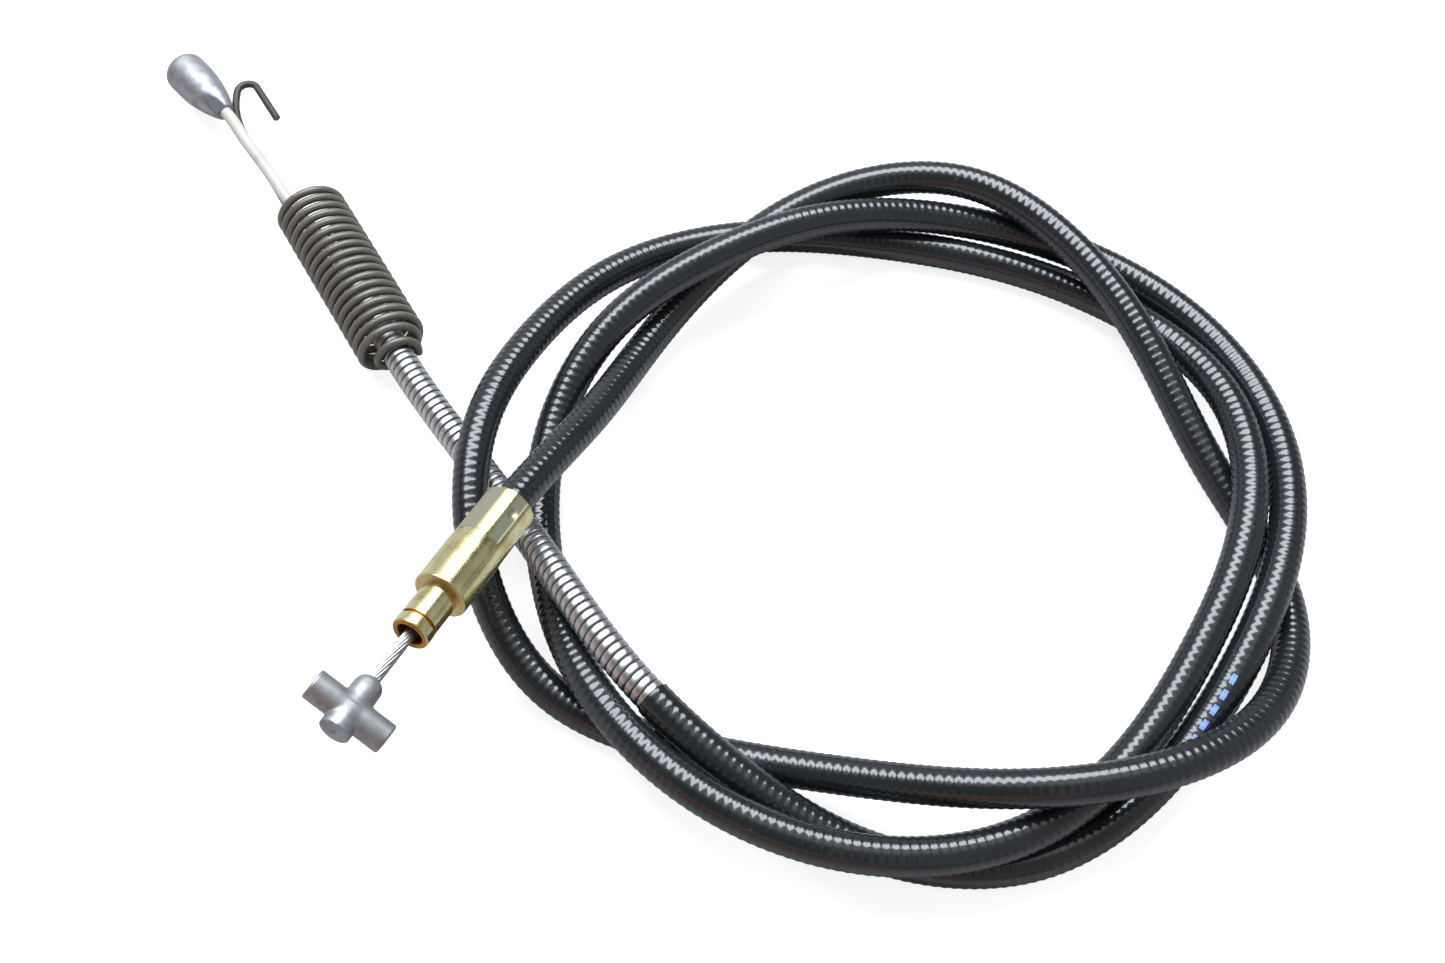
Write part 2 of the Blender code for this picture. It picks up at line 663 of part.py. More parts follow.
def main():
    clear_scene()
    pvc = make_material("black_pvc", (0.012, 0.013, 0.014), 0.32, 0.0)
    bright_steel = make_material("bright_spring_steel", (0.62, 0.61, 0.59), 0.28, 1.0)
    strand_steel = make_material("stranded_steel", (0.55, 0.54, 0.52), 0.35, 1.0)
    yellow_plate = make_material("yellow_zinc_plate", (0.72, 0.66, 0.36), 0.25, 1.0)
    cast_zinc = make_material("cast_zinc", (0.40, 0.43, 0.47), 0.42, 0.85)
    dark_steel = make_material("oiled_spring_wire", (0.085, 0.083, 0.075), 0.42, 0.6)
    nylon = make_material("natural_nylon", (0.68, 0.67, 0.62), 0.4, 0.0)

    ferrule_frame = axis_frame(layout_point(*FERRULE_REAR), FERRULE_AIM)
    spring_foot = layout_point(*SPRING_FOOT, SPRING_HEIGHT / MM)
    spring_frame = axis_frame(spring_foot, heading(SPRING_AIM))
    neck = layout_point(*BULLET_NECK, SPRING_HEIGHT / MM)
    bullet_frame = axis_frame(neck, heading(BULLET_AIM))
    tee_frame = ferrule_frame @ Matrix.Translation((0, 0, TEE_PLACE))
    guide_frame = spring_frame @ Matrix.Translation((0, 0, CONDUIT_IN_SPRING))

    tee_slide = add_slide("tee_slide", tee_frame)
    bullet_slide = add_slide("bullet_slide", guide_frame)

    steps, fine, jacket_end = cable_run(ferrule_frame, spring_frame)
    make_jacket(steps, jacket_end, pvc)
    make_conduit(steps, fine, jacket_end, spring_frame, bright_steel)
    make_inner_wire(steps, ferrule_frame, spring_frame, strand_steel)
    make_ferrule(ferrule_frame, yellow_plate)
    make_tee(tee_frame, tee_slide, cast_zinc)
    make_bare_wire_end(ferrule_frame, tee_slide, strand_steel)
    make_spring(spring_frame, dark_steel)
    make_coated_wire_end(spring_frame, neck, bullet_slide, nylon)
    make_bullet(bullet_frame, bullet_slide, cast_zinc)


main()
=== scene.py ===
"""Clutch cable: the finish of its jacket, conduit, wires, ferrule, nipples and spring.

Every piece is a surface worked out with numpy, in metres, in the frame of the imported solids.
"""
import math

import bmesh
import bpy
import numpy as np
from mathutils import Matrix, Vector


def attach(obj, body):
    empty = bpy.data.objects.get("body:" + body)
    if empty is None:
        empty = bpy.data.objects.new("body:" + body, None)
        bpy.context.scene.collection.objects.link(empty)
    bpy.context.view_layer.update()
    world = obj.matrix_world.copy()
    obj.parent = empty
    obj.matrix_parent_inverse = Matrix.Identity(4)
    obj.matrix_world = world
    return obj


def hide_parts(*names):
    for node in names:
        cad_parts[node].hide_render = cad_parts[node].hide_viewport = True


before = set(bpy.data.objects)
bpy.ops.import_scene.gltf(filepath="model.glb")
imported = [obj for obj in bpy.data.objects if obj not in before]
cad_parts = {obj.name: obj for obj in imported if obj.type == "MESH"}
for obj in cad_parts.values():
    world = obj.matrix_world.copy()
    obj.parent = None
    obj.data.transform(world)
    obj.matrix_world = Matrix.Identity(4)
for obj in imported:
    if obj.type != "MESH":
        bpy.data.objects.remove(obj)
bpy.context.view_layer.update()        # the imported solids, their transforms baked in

bl_info = {
    "name": "Clutch cable",
    "version": (1, 0, 0),
    "blender": (4, 5, 0),
    "location": "3D View > Sidebar > Clutch cable",
    "description": "Ribbed control cable with a crimped ferrule, a return spring and two cast nipples",
    "category": "Add Mesh",
}

MM = 0.001
UP = np.array((0.0, 0.0, 1.0))
CLEARANCE = 0.3 * MM
MERGE_DISTANCE = 0.0002 * MM

# Samples of the coil's curve, and the step on straight runs
COIL_SAMPLES = 4000
STRAIGHT_STEP = 0.5 * MM

# A length that no size of the cable reaches, and how often a span is halved in a search
FAR = 1.0
HALVINGS = 26

# Where things lie, in millimetres before the shift, as in the part
ORIGIN_SHIFT = np.array((19.86, -11.94, -0.17))
FERRULE_REAR = (-55.7, -23.8, 29.0)
FERRULE_AIM = (-0.429, -0.875, 0.225)
SPRING_FOOT = (-86.5, 26.3)
SPRING_AIM = 121.0
ROUTE = (
    (-40.5, 6, 17.5), (-27, 34.5, 9), (-7, 58, 11.5), (17, 72.5, 14),
    (46.5, 73, 16.5), (68.5, 55.5, 17), (84.5, 29, 14), (97, -1, 7.5),
    (108.5, -29.5, 5), (99.5, -61, 13.5), (72, -78, 20.5), (42, -80.5, 18),
    (12.5, -75, 10), (-19, -67.5, 5), (-48.5, -54.5, 5.5), (-64, -28.5, 14),
    (-65, 2.5, 18.5), (-55.5, 28.5, 14.5), (-37, 52.5, 8.5), (-7, 65.5, 4.5),
    (25.5, 64, 4.5), (57, 56.5, 4.5), (84.5, 39.5, 7.5), (101.5, 13, 13),
    (101, -18, 15.5), (87, -48, 13), (68.5, -72.5, 10.5), (44, -89, 12.5),
    (12, -92, 15), (-17.5, -80, 16), (-39.5, -56, 13), (-50, -27.5, 7),
    (-51, 4, 8), (-38.5, 30, 15), (-12.5, 49.5, 19), (14.5, 62, 16.5),
    (44.5, 66.5, 10), (74.5, 58, 7.5), (98.5, 37.5, 8.5), (111, 10, 10.5),
    (109.5, -20, 13.5), (95.5, -50.5, 12.5), (77, -74, 6), (50.5, -90.5, 4.5),
    (18.5, -89.5, 6), (-8.5, -76, 12.5), (-31, -55.5, 17), (-49.5, -29, 15.5),
    (-68, -0.5, 9),
)
TAIL_ROUTE = ((-119.0, 73.8), (-126.3, 84.6), (-133.6, 95.0))
BULLET_NECK = (-139.0, 102.8)
BULLET_AIM = 132.0

# Printed dashes: middle and width as shares of a turn round the jacket, and the inked
# share of each dash and its gap
PRINT_TURN = 0.25
PRINT_WIDTH = 0.045
PRINT_DASH = 0.6

# The camera: the picture's width in pixels and its focal length in the same
PICTURE_WIDTH = 1445
FOCAL_PIXELS = 1620
SENSOR_WIDTH = 36.0
CAMERA_PLACE = (0.00786, -0.19794, 0.31983)
CAMERA_TILT = 30.0

# The main lamp, a strip that lies along this level direction
KEY_PLACE = (-0.05, 0.40, 0.78)
KEY_ALONG = 24.0

# Lamps: name, place, level direction of the first side, sides, watts and colour
LAMPS = (
    ("key", KEY_PLACE, KEY_ALONG, (1.0, 0.4), 14.5, "#eef3ff"),
    ("fill", (0.7, -0.35, 0.6), 0.0, (1.6, 1.6), 2.5, "#ffffff"),
)

# Where the warm board stands, seen from the cable
BOARD_AIM = -120.0

# Strength of the soft light, of what reflections see, and of the glow round the key
# lamp, which rises between two angles from it
SOFT_LEVEL = 0.35
SKY_LEVEL = 0.75
GLOW_LEVEL = 1.2
GLOW_REACH = 42
GLOW_CORE = 22


def linear(hex_colour):
    """Linear colour of an sRGB hex value."""
    parts = [int(hex_colour[i:i + 2], 16) / 255 for i in (1, 3, 5)]
    return tuple(c / 12.92 if c <= 0.04045 else ((c + 0.055) / 1.055) ** 2.4 for c in parts)


def length(name, description, millimetres):
    """A property that holds a length."""
    return bpy.props.FloatProperty(
        name=name, description=description, default=millimetres * MM, min=0.0, unit="LENGTH", precision=5)


def tint(name, description, hex_colour):
    """A property that holds a colour."""
    return bpy.props.FloatVectorProperty(
        name=name, description=description, default=linear(hex_colour), subtype="COLOR", min=0.0, max=1.0)


class CableSizes(bpy.types.PropertyGroup):
    """Sizes of the jacket, the conduit and the wires."""
    jacket_diameter: length("Jacket diameter", "Over the crests of the jacket's ribs", 8.0)
    jacket_bore: length("Jacket bore", "Inside the jacket", 7.2)
    rib_depth: length("Rib depth", "How far the jacket sinks between two turns of the conduit", 0.14)
    rib_pitch: length("Rib pitch", "From one turn of the conduit's wire to the next", 1.87)
    conduit_diameter: length("Conduit diameter", "Over the turns of the bare conduit", 7.2)
    conduit_core: length("Conduit core", "Over the conduit where the jacket covers it", 6.7)
    gap_depth: length("Gap depth", "Depth of the gap between two turns", 0.32)
    conduit_bore: length("Conduit bore", "Inside the conduit", 3.7)
    bare_length: length("Bare length", "Conduit from the jacket's end to the spring's foot", 107.0)
    depth_in_spring: length("Depth in spring", "Conduit inside the spring", 26.0)
    depth_in_ferrule: length("Depth in ferrule", "Jacket inside the ferrule", 25.0)
    print_place: length("Print place", "Middle of the printed dashes from the jacket's start", 1369.5)
    print_length: length("Print length", "Length of the row of dashes", 17.5)
    wire_diameter: length("Wire diameter", "Over the strands of the bare wire", 2.5)
    wire_lay: length("Lay of the wire", "Length in which an outer wire goes once round the core", 36.0)
    coated_diameter: length("Coated wire diameter", "Over the nylon coating", 3.0)


class FerruleSizes(bpy.types.PropertyGroup):
    """Sizes of the crimped ferrule, measured along its axis from the rear rim."""
    sleeve_length: length("Sleeve length", "From the rear rim to the shoulder", 27.0)
    sleeve_diameter: length("Sleeve diameter", "At the shoulder", 11.6)
    sleeve_edge: length("Sleeve edge", "Radius of the shoulder's rim", 0.6)
    sleeve_floor: length("Sleeve floor", "Between the cavity and the shoulder", 1.7)
    rear_diameter: length("Rear diameter", "Where the sleeve is crimped", 11.3)
    rear_chamfer: length("Rear chamfer", "On the rear rim", 0.25)
    crimp_length: length("Crimp length", "Crimped part of the sleeve", 12.0)
    crimp_flare: length("Crimp flare", "Over which the sleeve widens again", 3.0)
    neck_diameter: length("Neck diameter", "In front of the shoulder", 7.8)
    neck_length: length("Neck length", "From the shoulder to the mouth", 10.8)
    groove_depth: length("Groove depth", "Clip groove behind the lip", 0.4)
    groove_width: length("Groove width", "Clip groove behind the lip", 0.8)
    lip_length: length("Lip length", "From the groove to the mouth", 2.7)
    lip_diameter: length("Lip diameter", "Rounded lip at the mouth", 8.0)
    lip_edge: length("Lip edge", "Radius of the lip's rim", 0.8)
    mouth_bore: length("Mouth bore", "Hole that the wire comes out of", 5.6)
    mouth_chamfer: length("Mouth chamfer", "On the edge of that hole", 0.4)
    cavity_diameter: length("Cavity diameter", "Inside the sleeve", 8.6)
    flat_distance: length("Flat distance", "From the axis to the wide crimp flat", 5.2)
    flat_length: length("Flat length", "Length of the crimp flats", 12.5)
    side_flat_distance: length("Side flat distance", "From the axis to the narrow flat", 5.3)
    side_flat_width: length("Side flat width", "Width of the narrow flat", 2.8)
    dimple_diameter: length("Dimple diameter", "Punch mark in the narrow flat", 2.6)
    dimple_depth: length("Dimple depth", "Punch mark in the narrow flat", 0.5)
    dimple_place: length("Dimple place", "Punch mark from the rear rim", 4.6)


class NippleSizes(bpy.types.PropertyGroup):
    """Sizes of the two cast nipples."""
    bar_length: length("Bar length", "Cross bar of the T nipple", 17.2)
    bar_diameter: length("Bar diameter", "Cross bar of the T nipple", 6.2)
    rear_boss_diameter: length("Rear boss diameter", "Domed boss round the wire", 5.8)
    rear_boss_dome: length("Rear boss dome", "Radius of that boss's round end", 2.3)
    rear_boss_reach: length("Rear boss reach", "From the bar's axis to the dome's end", 8.0)
    front_boss_diameter: length("Front boss diameter", "Flat boss in front", 6.4)
    front_boss_reach: length("Front boss reach", "From the bar's axis to the flat face", 5.0)
    exposed_wire: length("Exposed wire", "From the ferrule's mouth to the rear boss", 11.7)
    bullet_diameter: length("Bullet diameter", "Round body of the bullet nipple", 10.8)
    bullet_length: length("Bullet length", "From its neck to its end", 20.4)
    bullet_neck: length("Bullet neck", "Diameter where the wire goes in", 4.6)
    bullet_nose: length("Bullet nose", "Length over which the nose swells", 15.0)
    bullet_edge: length("Bullet edge", "Radius of its rounded end", 2.2)
    bullet_grip: length("Bullet grip", "Wire inside the nipple", 9.0)
    bullet_flat: length("Bullet flat", "From the axis to the flat on the nose", 3.9)
    bullet_flat_place: length("Bullet flat place", "Middle of the flat from the neck", 5.5)


class SpringSizes(bpy.types.PropertyGroup):
    """Sizes of the return spring and its hook."""
    coil_diameter: length("Coil diameter", "Outside the coil", 17.2)
    wire: length("Spring wire", "Diameter of the spring's wire", 1.9)
    pitch: length("Coil pitch", "From one turn to the next", 2.73)
    shank: length("Hook shank", "Straight part beyond the coil", 31.5)
    lean: length("Hook lean", "Part that leans away from the wire", 15.2)
    bend_radius: length("Bend radius", "Centre line of the hook's bend", 2.6)
    leg: length("Hook leg", "Straight end of the hook", 12.5)
    offset: length("Hook offset", "Shank to the left of the coil's axis", 4.0)


class FinishColours(bpy.types.PropertyGroup):
    """Colours of the finishes."""
    jacket: tint("Jacket", "Black plasticised vinyl", "#15181a")
    jacket_worn: tint("Rubbed jacket", "Where the jacket is dull", "#24282a")
    dust: tint("Dust", "Specks on the jacket", "#8d8f90")
    print_ink: tint("Print", "Plain dashes printed on the jacket", "#86a8ee")
    conduit: tint("Conduit steel", "Bright drawn wire", "#c3c5c7")
    # Oil and painted shade, laid into the gaps between turns and between strands
    conduit_gap: tint("Conduit gaps", "Oil and shade between the turns", "#67635b")
    strand: tint("Strand steel", "Galvanised strands", "#cfd0d1")
    plate: tint("Yellow plate", "Chromated zinc", "#dbd5a6")
    plate_deep: tint("Deep plate", "Where the chromate is a little thicker", "#b3a35f")
    # Painted warm reflection, coloured into the groove, the bore and faces that look forward
    plate_warm_reflection: tint("Painted warm reflection", "In the groove, the bore and on forward faces", "#b8792f")
    plate_crimp: tint("Crimped plate", "Plate dulled by the crimping tool", "#a9a892")
    zinc: tint("Cast zinc", "Satin zinc alloy", "#a0a1a3")
    zinc_dark: tint("Dull zinc", "Cloudy spots in the casting's skin", "#828385")
    # Painted shade: the darker colour laid on the bullet's flat
    zinc_flat_shade: tint("Shaded flat zinc", "Flat cut on the casting", "#7b7f85")
    spring: tint("Spring steel", "Oiled oxide skin", "#7c796f")
    spring_dark: tint("Spring shade", "Thicker oxide", "#615f57")
    # Painted shade: a darker colour laid on the hook against the coil, not a different wire
    spring_hook_shade: tint("Hook shade", "Wire that was heated and drawn out for the hook", "#474641")
    nylon: tint("Nylon", "Natural nylon coating", "#c4c1b7")
    nylon_grey: tint("Greyed nylon", "Handled coating", "#a7a398")
    floor: tint("Floor", "Pale matt floor", "#bcbcbc")
    warm_board: tint("Warm board", "Reflector low in front, seen in the metal", "#d27852")


def unit(vectors):
    """The same directions at length one."""
    return vectors / np.linalg.norm(vectors, axis=-1, keepdims=True)


def layout_point(x, y, z):
    """A point of the layout, given in millimetres, in the frame of the solids."""
    return (np.array((x, y, z), float) + ORIGIN_SHIFT) * MM


def heading(degrees):
    """A level direction, measured from +X towards +Y."""
    angle = math.radians(degrees)
    return np.array((math.cos(angle), math.sin(angle), 0.0))


def axis_frame(origin, direction, along=0.0):
    """A 4 x 4 frame with Z along direction and Y near upright, moved along its own Z."""
    z = unit(np.array(direction, float))
    x = unit(np.cross(UP, z))
    made = np.eye(4)
    made[:3, :3] = np.stack((x, np.cross(z, x), z), axis=1)
    made[:3, 3] = np.array(origin) + z * along
    return made


def put(points, where):
    """Local points in the frame of the solids."""
    return points @ where[:3, :3].T + where[:3, 3]


def ferrule_frame(along=0.0):
    """The ferrule's frame: its axis is Z, and its rear rim lies at 0."""
    return axis_frame(layout_point(*FERRULE_REAR), FERRULE_AIM, along)


def coil_height():
    """Height of the spring's axis over the floor, in millimetres."""
    return bpy.context.scene.spring_sizes.coil_diameter / 2 / MM


def spring_frame():
    """The spring's frame: its axis is Z, and its foot lies at 0."""
    return axis_frame(layout_point(*SPRING_FOOT, coil_height()), heading(SPRING_AIM))


def bullet_frame():
    """The bullet nipple's frame: its axis is Z, and its neck lies at 0."""
    return axis_frame(layout_point(*BULLET_NECK, coil_height()), heading(BULLET_AIM))


def smooth_curve(points, start_direction, end_direction, samples):
    """A cubic curve through the points with set end directions, sampled evenly in its knots.

    Each span is a cubic, p = h00*p0 + h10*w*m0 + h01*p1 + h11*w*m1, and the slopes m solve
    the linear system in which curvature is the same on both sides of each point.
    """
    p = np.array(points, float)
    h = np.linalg.norm(np.diff(p, axis=0), axis=1)
    knots = np.concatenate(([0.0], np.cumsum(h)))
    count = len(p)
    system = np.eye(count)
    target = np.zeros((count, 3))
    target[0], target[-1] = start_direction, end_direction
    inner = np.arange(1, count - 1)
    system[inner, inner - 1] = h[1:]
    system[inner, inner] = 2 * (h[:-1] + h[1:])
    system[inner, inner + 1] = h[:-1]
    steps = np.diff(p, axis=0) / h[:, None]
    target[1:-1] = 3 * (h[:-1, None] * steps[1:] + h[1:, None] * steps[:-1])
    slope = np.linalg.solve(system, target)
    at = np.linspace(0.0, knots[-1], samples)
    span = np.clip(np.searchsorted(knots, at, side="right") - 1, 0, count - 2)
    t = ((at - knots[span]) / h[span])[:, None]
    width = h[span][:, None]
    curve = (1 + 2 * t) * (1 - t) ** 2 * p[span] + t * t * (3 - 2 * t) * p[span + 1]
    curve += width * t * (1 - t) ** 2 * slope[span] + width * t * t * (t - 1) * slope[span + 1]
    return curve


def arc_lengths(line):
    """Distance along a line at each of its points."""
    return np.concatenate(([0.0], np.cumsum(np.linalg.norm(np.diff(line, axis=0), axis=1))))


def straight(start, end, step):
    """Points a step apart on a straight line, its end left out."""
    count = max(2, int(np.linalg.norm(end - start) / step))
    return start + (end - start) * np.linspace(0.0, 1.0, count, endpoint=False)[:, None]


def read_line(line, at):
    """Centre, left, up and forward directions of a line at distances along it.

    Forward is the line's slope, left is upright x forward, and up is forward x left.
    """
    along = arc_lengths(line)
    forward = unit(np.gradient(line, along, axis=0))
    centre = np.stack([np.interp(at, along, line[:, i]) for i in range(3)], axis=-1)
    ahead = unit(np.stack([np.interp(at, along, forward[:, i]) for i in range(3)], axis=-1))
    left = unit(np.cross(UP, ahead))
    return centre, left, np.cross(ahead, left), ahead


def round_surface(line, at, radius, angle):
    """Points at a radius from the line: centre + radius * (cos * left + sin * up)."""
    centre, left, up, _ = read_line(line, at)
    spoke = left * np.cos(angle)[..., None] + up * np.sin(angle)[..., None]
    return centre + radius[..., None] * spoke


def round_angles(sides, start=0.0):
    """Angles of the corners of a ring."""
    return start + np.arange(sides) * 2 * math.pi / sides


def screw_rows(start, end, pitch, per_turn, sides):
    """Distances of a grid whose rows climb one pitch in a turn, so that ribs lie along them.

    Row k and column j lie at start + (k / per_turn + j / sides) * pitch, drawn back to the
    two ends. The phase of a point is its distance in pitches less j / sides.
    """
    count = math.ceil((end - start) / pitch * per_turn)
    k = np.arange(-per_turn, count + 1)[:, None] / per_turn
    j = np.arange(sides)[None, :] / sides
    at = np.clip(start + (k + j) * pitch, start, end)
    return at, (at - start) / pitch - j


def level_rows(at, sides):
    """Distances of rings square to the line."""
    return np.repeat(np.asarray(at)[:, None], sides, axis=1)


def partner_rows(blocks):
    """For each row, the row that its last column meets when the ring closes.

    A block is (rows, rows ahead): a screw's last column meets the first one a turn ahead.
    """
    partners = []
    first = 0
    for rows, ahead in blocks:
        partners.append(first + np.minimum(np.arange(rows) + ahead, rows - 1))
        first += rows
    return np.concatenate(partners)


def grid_mesh(name, grid, ring=False, partners=None, marks=None):
    """A closed mesh of a grid of points, rows x columns x 3, whose columns go round.

    With ring, the last row joins the first, as in a tube with a bore. Without it, both
    ends are closed by a fan about the end row's middle. The UV map holds the distance
    round and along in metres, and marks are named values for each point.
    """
    rows, columns = grid.shape[:2]
    partners = np.arange(rows) if partners is None else partners
    k, j = np.meshgrid(np.arange(rows if ring else rows - 1), np.arange(columns), indexing="ij")
    after = (k + 1) % rows
    last = j == columns - 1
    right = (j + 1) % columns
    near = np.where(last, partners[k], k)
    far = np.where(last, partners[after], after)
    quads = np.stack((k * columns + j, near * columns + right, far * columns + right,
                      after * columns + j), -1).reshape(-1, 4)
    points = grid.reshape(-1, 3)
    triangles = np.zeros((0, 3), int)
    if not ring:
        points = np.vstack((points, grid[0].mean(0), grid[-1].mean(0)))
        around = np.arange(columns)
        next_one = (around + 1) % columns
        middle = np.full(columns, rows * columns)
        base = (rows - 1) * columns
        first_fan = np.stack((middle, next_one, around), -1)
        last_fan = np.stack((middle + 1, base + around, base + next_one), -1)
        triangles = np.vstack((first_fan, last_fan))
    across = np.linalg.norm(np.diff(grid, axis=1), axis=2).sum(1).mean() * columns / (columns - 1)
    along = np.concatenate(([0.0], np.cumsum(np.linalg.norm(np.diff(grid, axis=0), axis=2).mean(1))))
    lengthwise = np.append(along, along[-1] + along[1])
    u = np.stack((j, j + 1, j + 1, j), -1) / columns * across
    v = np.stack((lengthwise[k], lengthwise[k], lengthwise[k + 1], lengthwise[k + 1]), -1)
    flat = np.concatenate((np.stack((u, v), -1).reshape(-1, 2), np.zeros((triangles.size, 2))))

    mesh = bpy.data.meshes.new(name)
    corners = np.concatenate((quads.ravel(), triangles.ravel())).astype(np.int32)
    starts = np.concatenate((np.arange(len(quads)) * 4, quads.size + np.arange(len(triangles)) * 3))
    mesh.vertices.add(len(points))
    mesh.vertices.foreach_set("co", points.astype(np.float32).ravel())
    mesh.loops.add(len(corners))
    mesh.loops.foreach_set("vertex_index", corners)
    mesh.polygons.add(len(starts))
    mesh.polygons.foreach_set("loop_start", starts.astype(np.int32))
    mesh.update(calc_edges=True)
    mesh.uv_layers.new(name="UVMap").data.foreach_set("uv", flat.astype(np.float32).ravel())
    for mark, values in (marks or {}).items():
        layer = mesh.attributes.new(mark, "FLOAT", "POINT")
        filled = np.zeros(len(points), np.float32)
        filled[:values.size] = values.ravel()
        layer.data.foreach_set("value", filled)
    return mesh


def merge_points(mesh):
    """Join points that lie at one place, such as those drawn back to a cut end."""
    bm = bmesh.new()
    bm.from_mesh(mesh)
    bmesh.ops.remove_doubles(bm, verts=bm.verts[:], dist=MERGE_DISTANCE)
    bmesh.ops.dissolve_degenerate(bm, dist=MERGE_DISTANCE / 2, edges=bm.edges[:])
    bm.to_mesh(mesh)
    bm.free()


def add_piece(mesh, material, body, nodes, sharp=40.0):
    """Put a mesh in the scene as a piece that rides on a body and stands for its nodes."""
    mesh.shade_smooth()
    mesh.set_sharp_from_angle(angle=math.radians(sharp))
    mesh.materials.append(material)
    piece = bpy.data.objects.new(mesh.name, mesh)
    bpy.context.scene.collection.objects.link(piece)
    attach(piece, body)
    if nodes:
        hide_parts(*nodes)
    return piece


def cable_line(sizes):
    """The cable's centre line, from inside the ferrule through the coil into the spring."""
    ferrule = ferrule_frame()
    spring = spring_frame()
    rear, foot = ferrule[:3, 3], spring[:3, 3]
    inside = rear + ferrule[:3, 2] * sizes.depth_in_ferrule
    tip = foot + spring[:3, 2] * sizes.depth_in_spring
    through = [rear, *(layout_point(*point) for point in ROUTE), foot]
    coil = smooth_curve(through, -ferrule[:3, 2], spring[:3, 2], COIL_SAMPLES)
    into_spring = straight(foot, tip, STRAIGHT_STEP)
    return np.vstack((straight(inside, rear, STRAIGHT_STEP), coil, into_spring[1:], tip))


def jacket_end(sizes, line):
    """Distance along the line at which the jacket is cut off."""
    return arc_lengths(line)[-1] - sizes.depth_in_spring - sizes.bare_length


def add_node(tree, kind, inputs=(), **settings):
    """Add a node with its settings, and give its inputs a value or another node's output."""
    node = tree.nodes.new(kind)
    for name, value in settings.items():
        setattr(node, name, value)
    for key, value in dict(inputs).items():
        if isinstance(value, bpy.types.NodeSocket):
            tree.links.new(value, node.inputs[key])
        else:
            node.inputs[key].default_value = value
    return node


def new_material(name):
    """An empty material: its tree and the place where its shader goes."""
    material = bpy.data.materials.new(name)
    material.use_nodes = True
    tree = material.node_tree
    tree.nodes.clear()
    output = add_node(tree, "ShaderNodeOutputMaterial")
    return material, tree, output.inputs["Surface"]


def per(millimetres):
    """Texture scale at which one cell of a pattern measures that many millimetres."""
    return 1.0 / (millimetres * MM)


def rgba(colour):
    """A colour with full opacity."""
    return (*colour, 1.0)


def patterned(name, *patterns):
    """A new material with Object coordinates and noise patterns, each (cell in mm, detail)."""
    material, tree, surface = new_material(name)
    place = add_node(tree, "ShaderNodeTexCoord").outputs["Object"]
    noises = []
    for cell, detail in patterns:
        noise = add_node(tree, "ShaderNodeTexNoise", {"Vector": place, "Scale": per(cell), "Detail": detail})
        noises.append(noise.outputs["Fac"])
    return material, tree, surface, place, noises


def layered(tree, base, *layers):
    """The base colour with layers mixed over it in turn, each (share, colour)."""
    colour = rgba(base)
    for share, layer in layers:
        over = add_node(tree, "ShaderNodeMix", {0: share, 6: colour, 7: rgba(layer)}, data_type="RGBA")
        colour = over.outputs[2]
    return colour


def shade(tree, surface, sockets, pattern, strength, height):
    """Lead a shader to the surface, its skin raised by a pattern up to a height in mm."""
    skin = add_node(tree, "ShaderNodeBump", {
        "Height": pattern, "Strength": strength, "Distance": height * MM})
    shader = add_node(tree, "ShaderNodeBsdfPrincipled", {**sockets, "Normal": skin.outputs["Normal"]})
    tree.links.new(shader.outputs["BSDF"], surface)


def printed_dashes(tree):
    """1 on a short row of dashes along the jacket, elsewhere 0.

    A point counts if it is near enough to the middle of its dash, of the row and of the row's
    place round the jacket.
    """
    sizes = bpy.context.scene.cable_sizes
    along = add_node(tree, "ShaderNodeAttribute", attribute_name="along").outputs["Fac"]
    around = add_node(tree, "ShaderNodeAttribute", attribute_name="around").outputs["Fac"]
    turns = add_node(tree, "ShaderNodeMath", {0: along, 1: 2 * sizes.rib_pitch}, operation="DIVIDE")
    in_dash = add_node(tree, "ShaderNodeMath", {0: turns.outputs[0]}, operation="FRACT").outputs[0]
    share = 1.0
    for value, middle, reach in (
            (in_dash, 0.5, PRINT_DASH / 2),
            (along, sizes.print_place, sizes.print_length / 2),
            (around, PRINT_TURN, PRINT_WIDTH / 2)):
        near = add_node(tree, "ShaderNodeMath", {0: value, 1: middle, 2: reach}, operation="COMPARE")
        both = add_node(tree, "ShaderNodeMath", {0: share, 1: near.outputs[0]}, operation="MULTIPLY")
        share = both.outputs[0]
    return share


def extruded_vinyl():
    """Plasticised vinyl, extruded over the turns: near black, with a wet gloss and dry dust.

    The gloss wanders a little, so each rib's highlight differs from the next.
    """
    colours = bpy.context.scene.finish_colours
    material, tree, surface, place, (cloud, grain) = patterned(
        "extruded_black_vinyl", (9, 3.0), (0.9, 2.0))
    specks = add_node(tree, "ShaderNodeTexVoronoi", {"Vector": place, "Scale": per(1.7)})
    dot = add_node(tree, "ShaderNodeMapRange", {
        "Value": specks.outputs["Distance"], "From Min": 0.10, "From Max": 0.05,
        "To Min": 0.0, "To Max": 0.55})
    patchy = add_node(tree, "ShaderNodeMapRange", {"Value": cloud, "From Min": 0.5, "From Max": 0.62})
    dust = add_node(tree, "ShaderNodeMath", {
        0: dot.outputs["Result"], 1: patchy.outputs["Result"]}, operation="MULTIPLY")
    colour = layered(tree, colours.jacket, (cloud, colours.jacket_worn), (dust.outputs[0], colours.dust),
                     (printed_dashes(tree), colours.print_ink))
    gloss = add_node(tree, "ShaderNodeMapRange", {
        "Value": grain, "From Min": 0.3, "From Max": 0.7, "To Min": 0.12, "To Max": 0.22})
    shade(tree, surface, {"Base Color": colour, "Roughness": gloss.outputs["Result"], "IOR": 1.55},
          grain, strength=0.25, height=0.03)
    return material


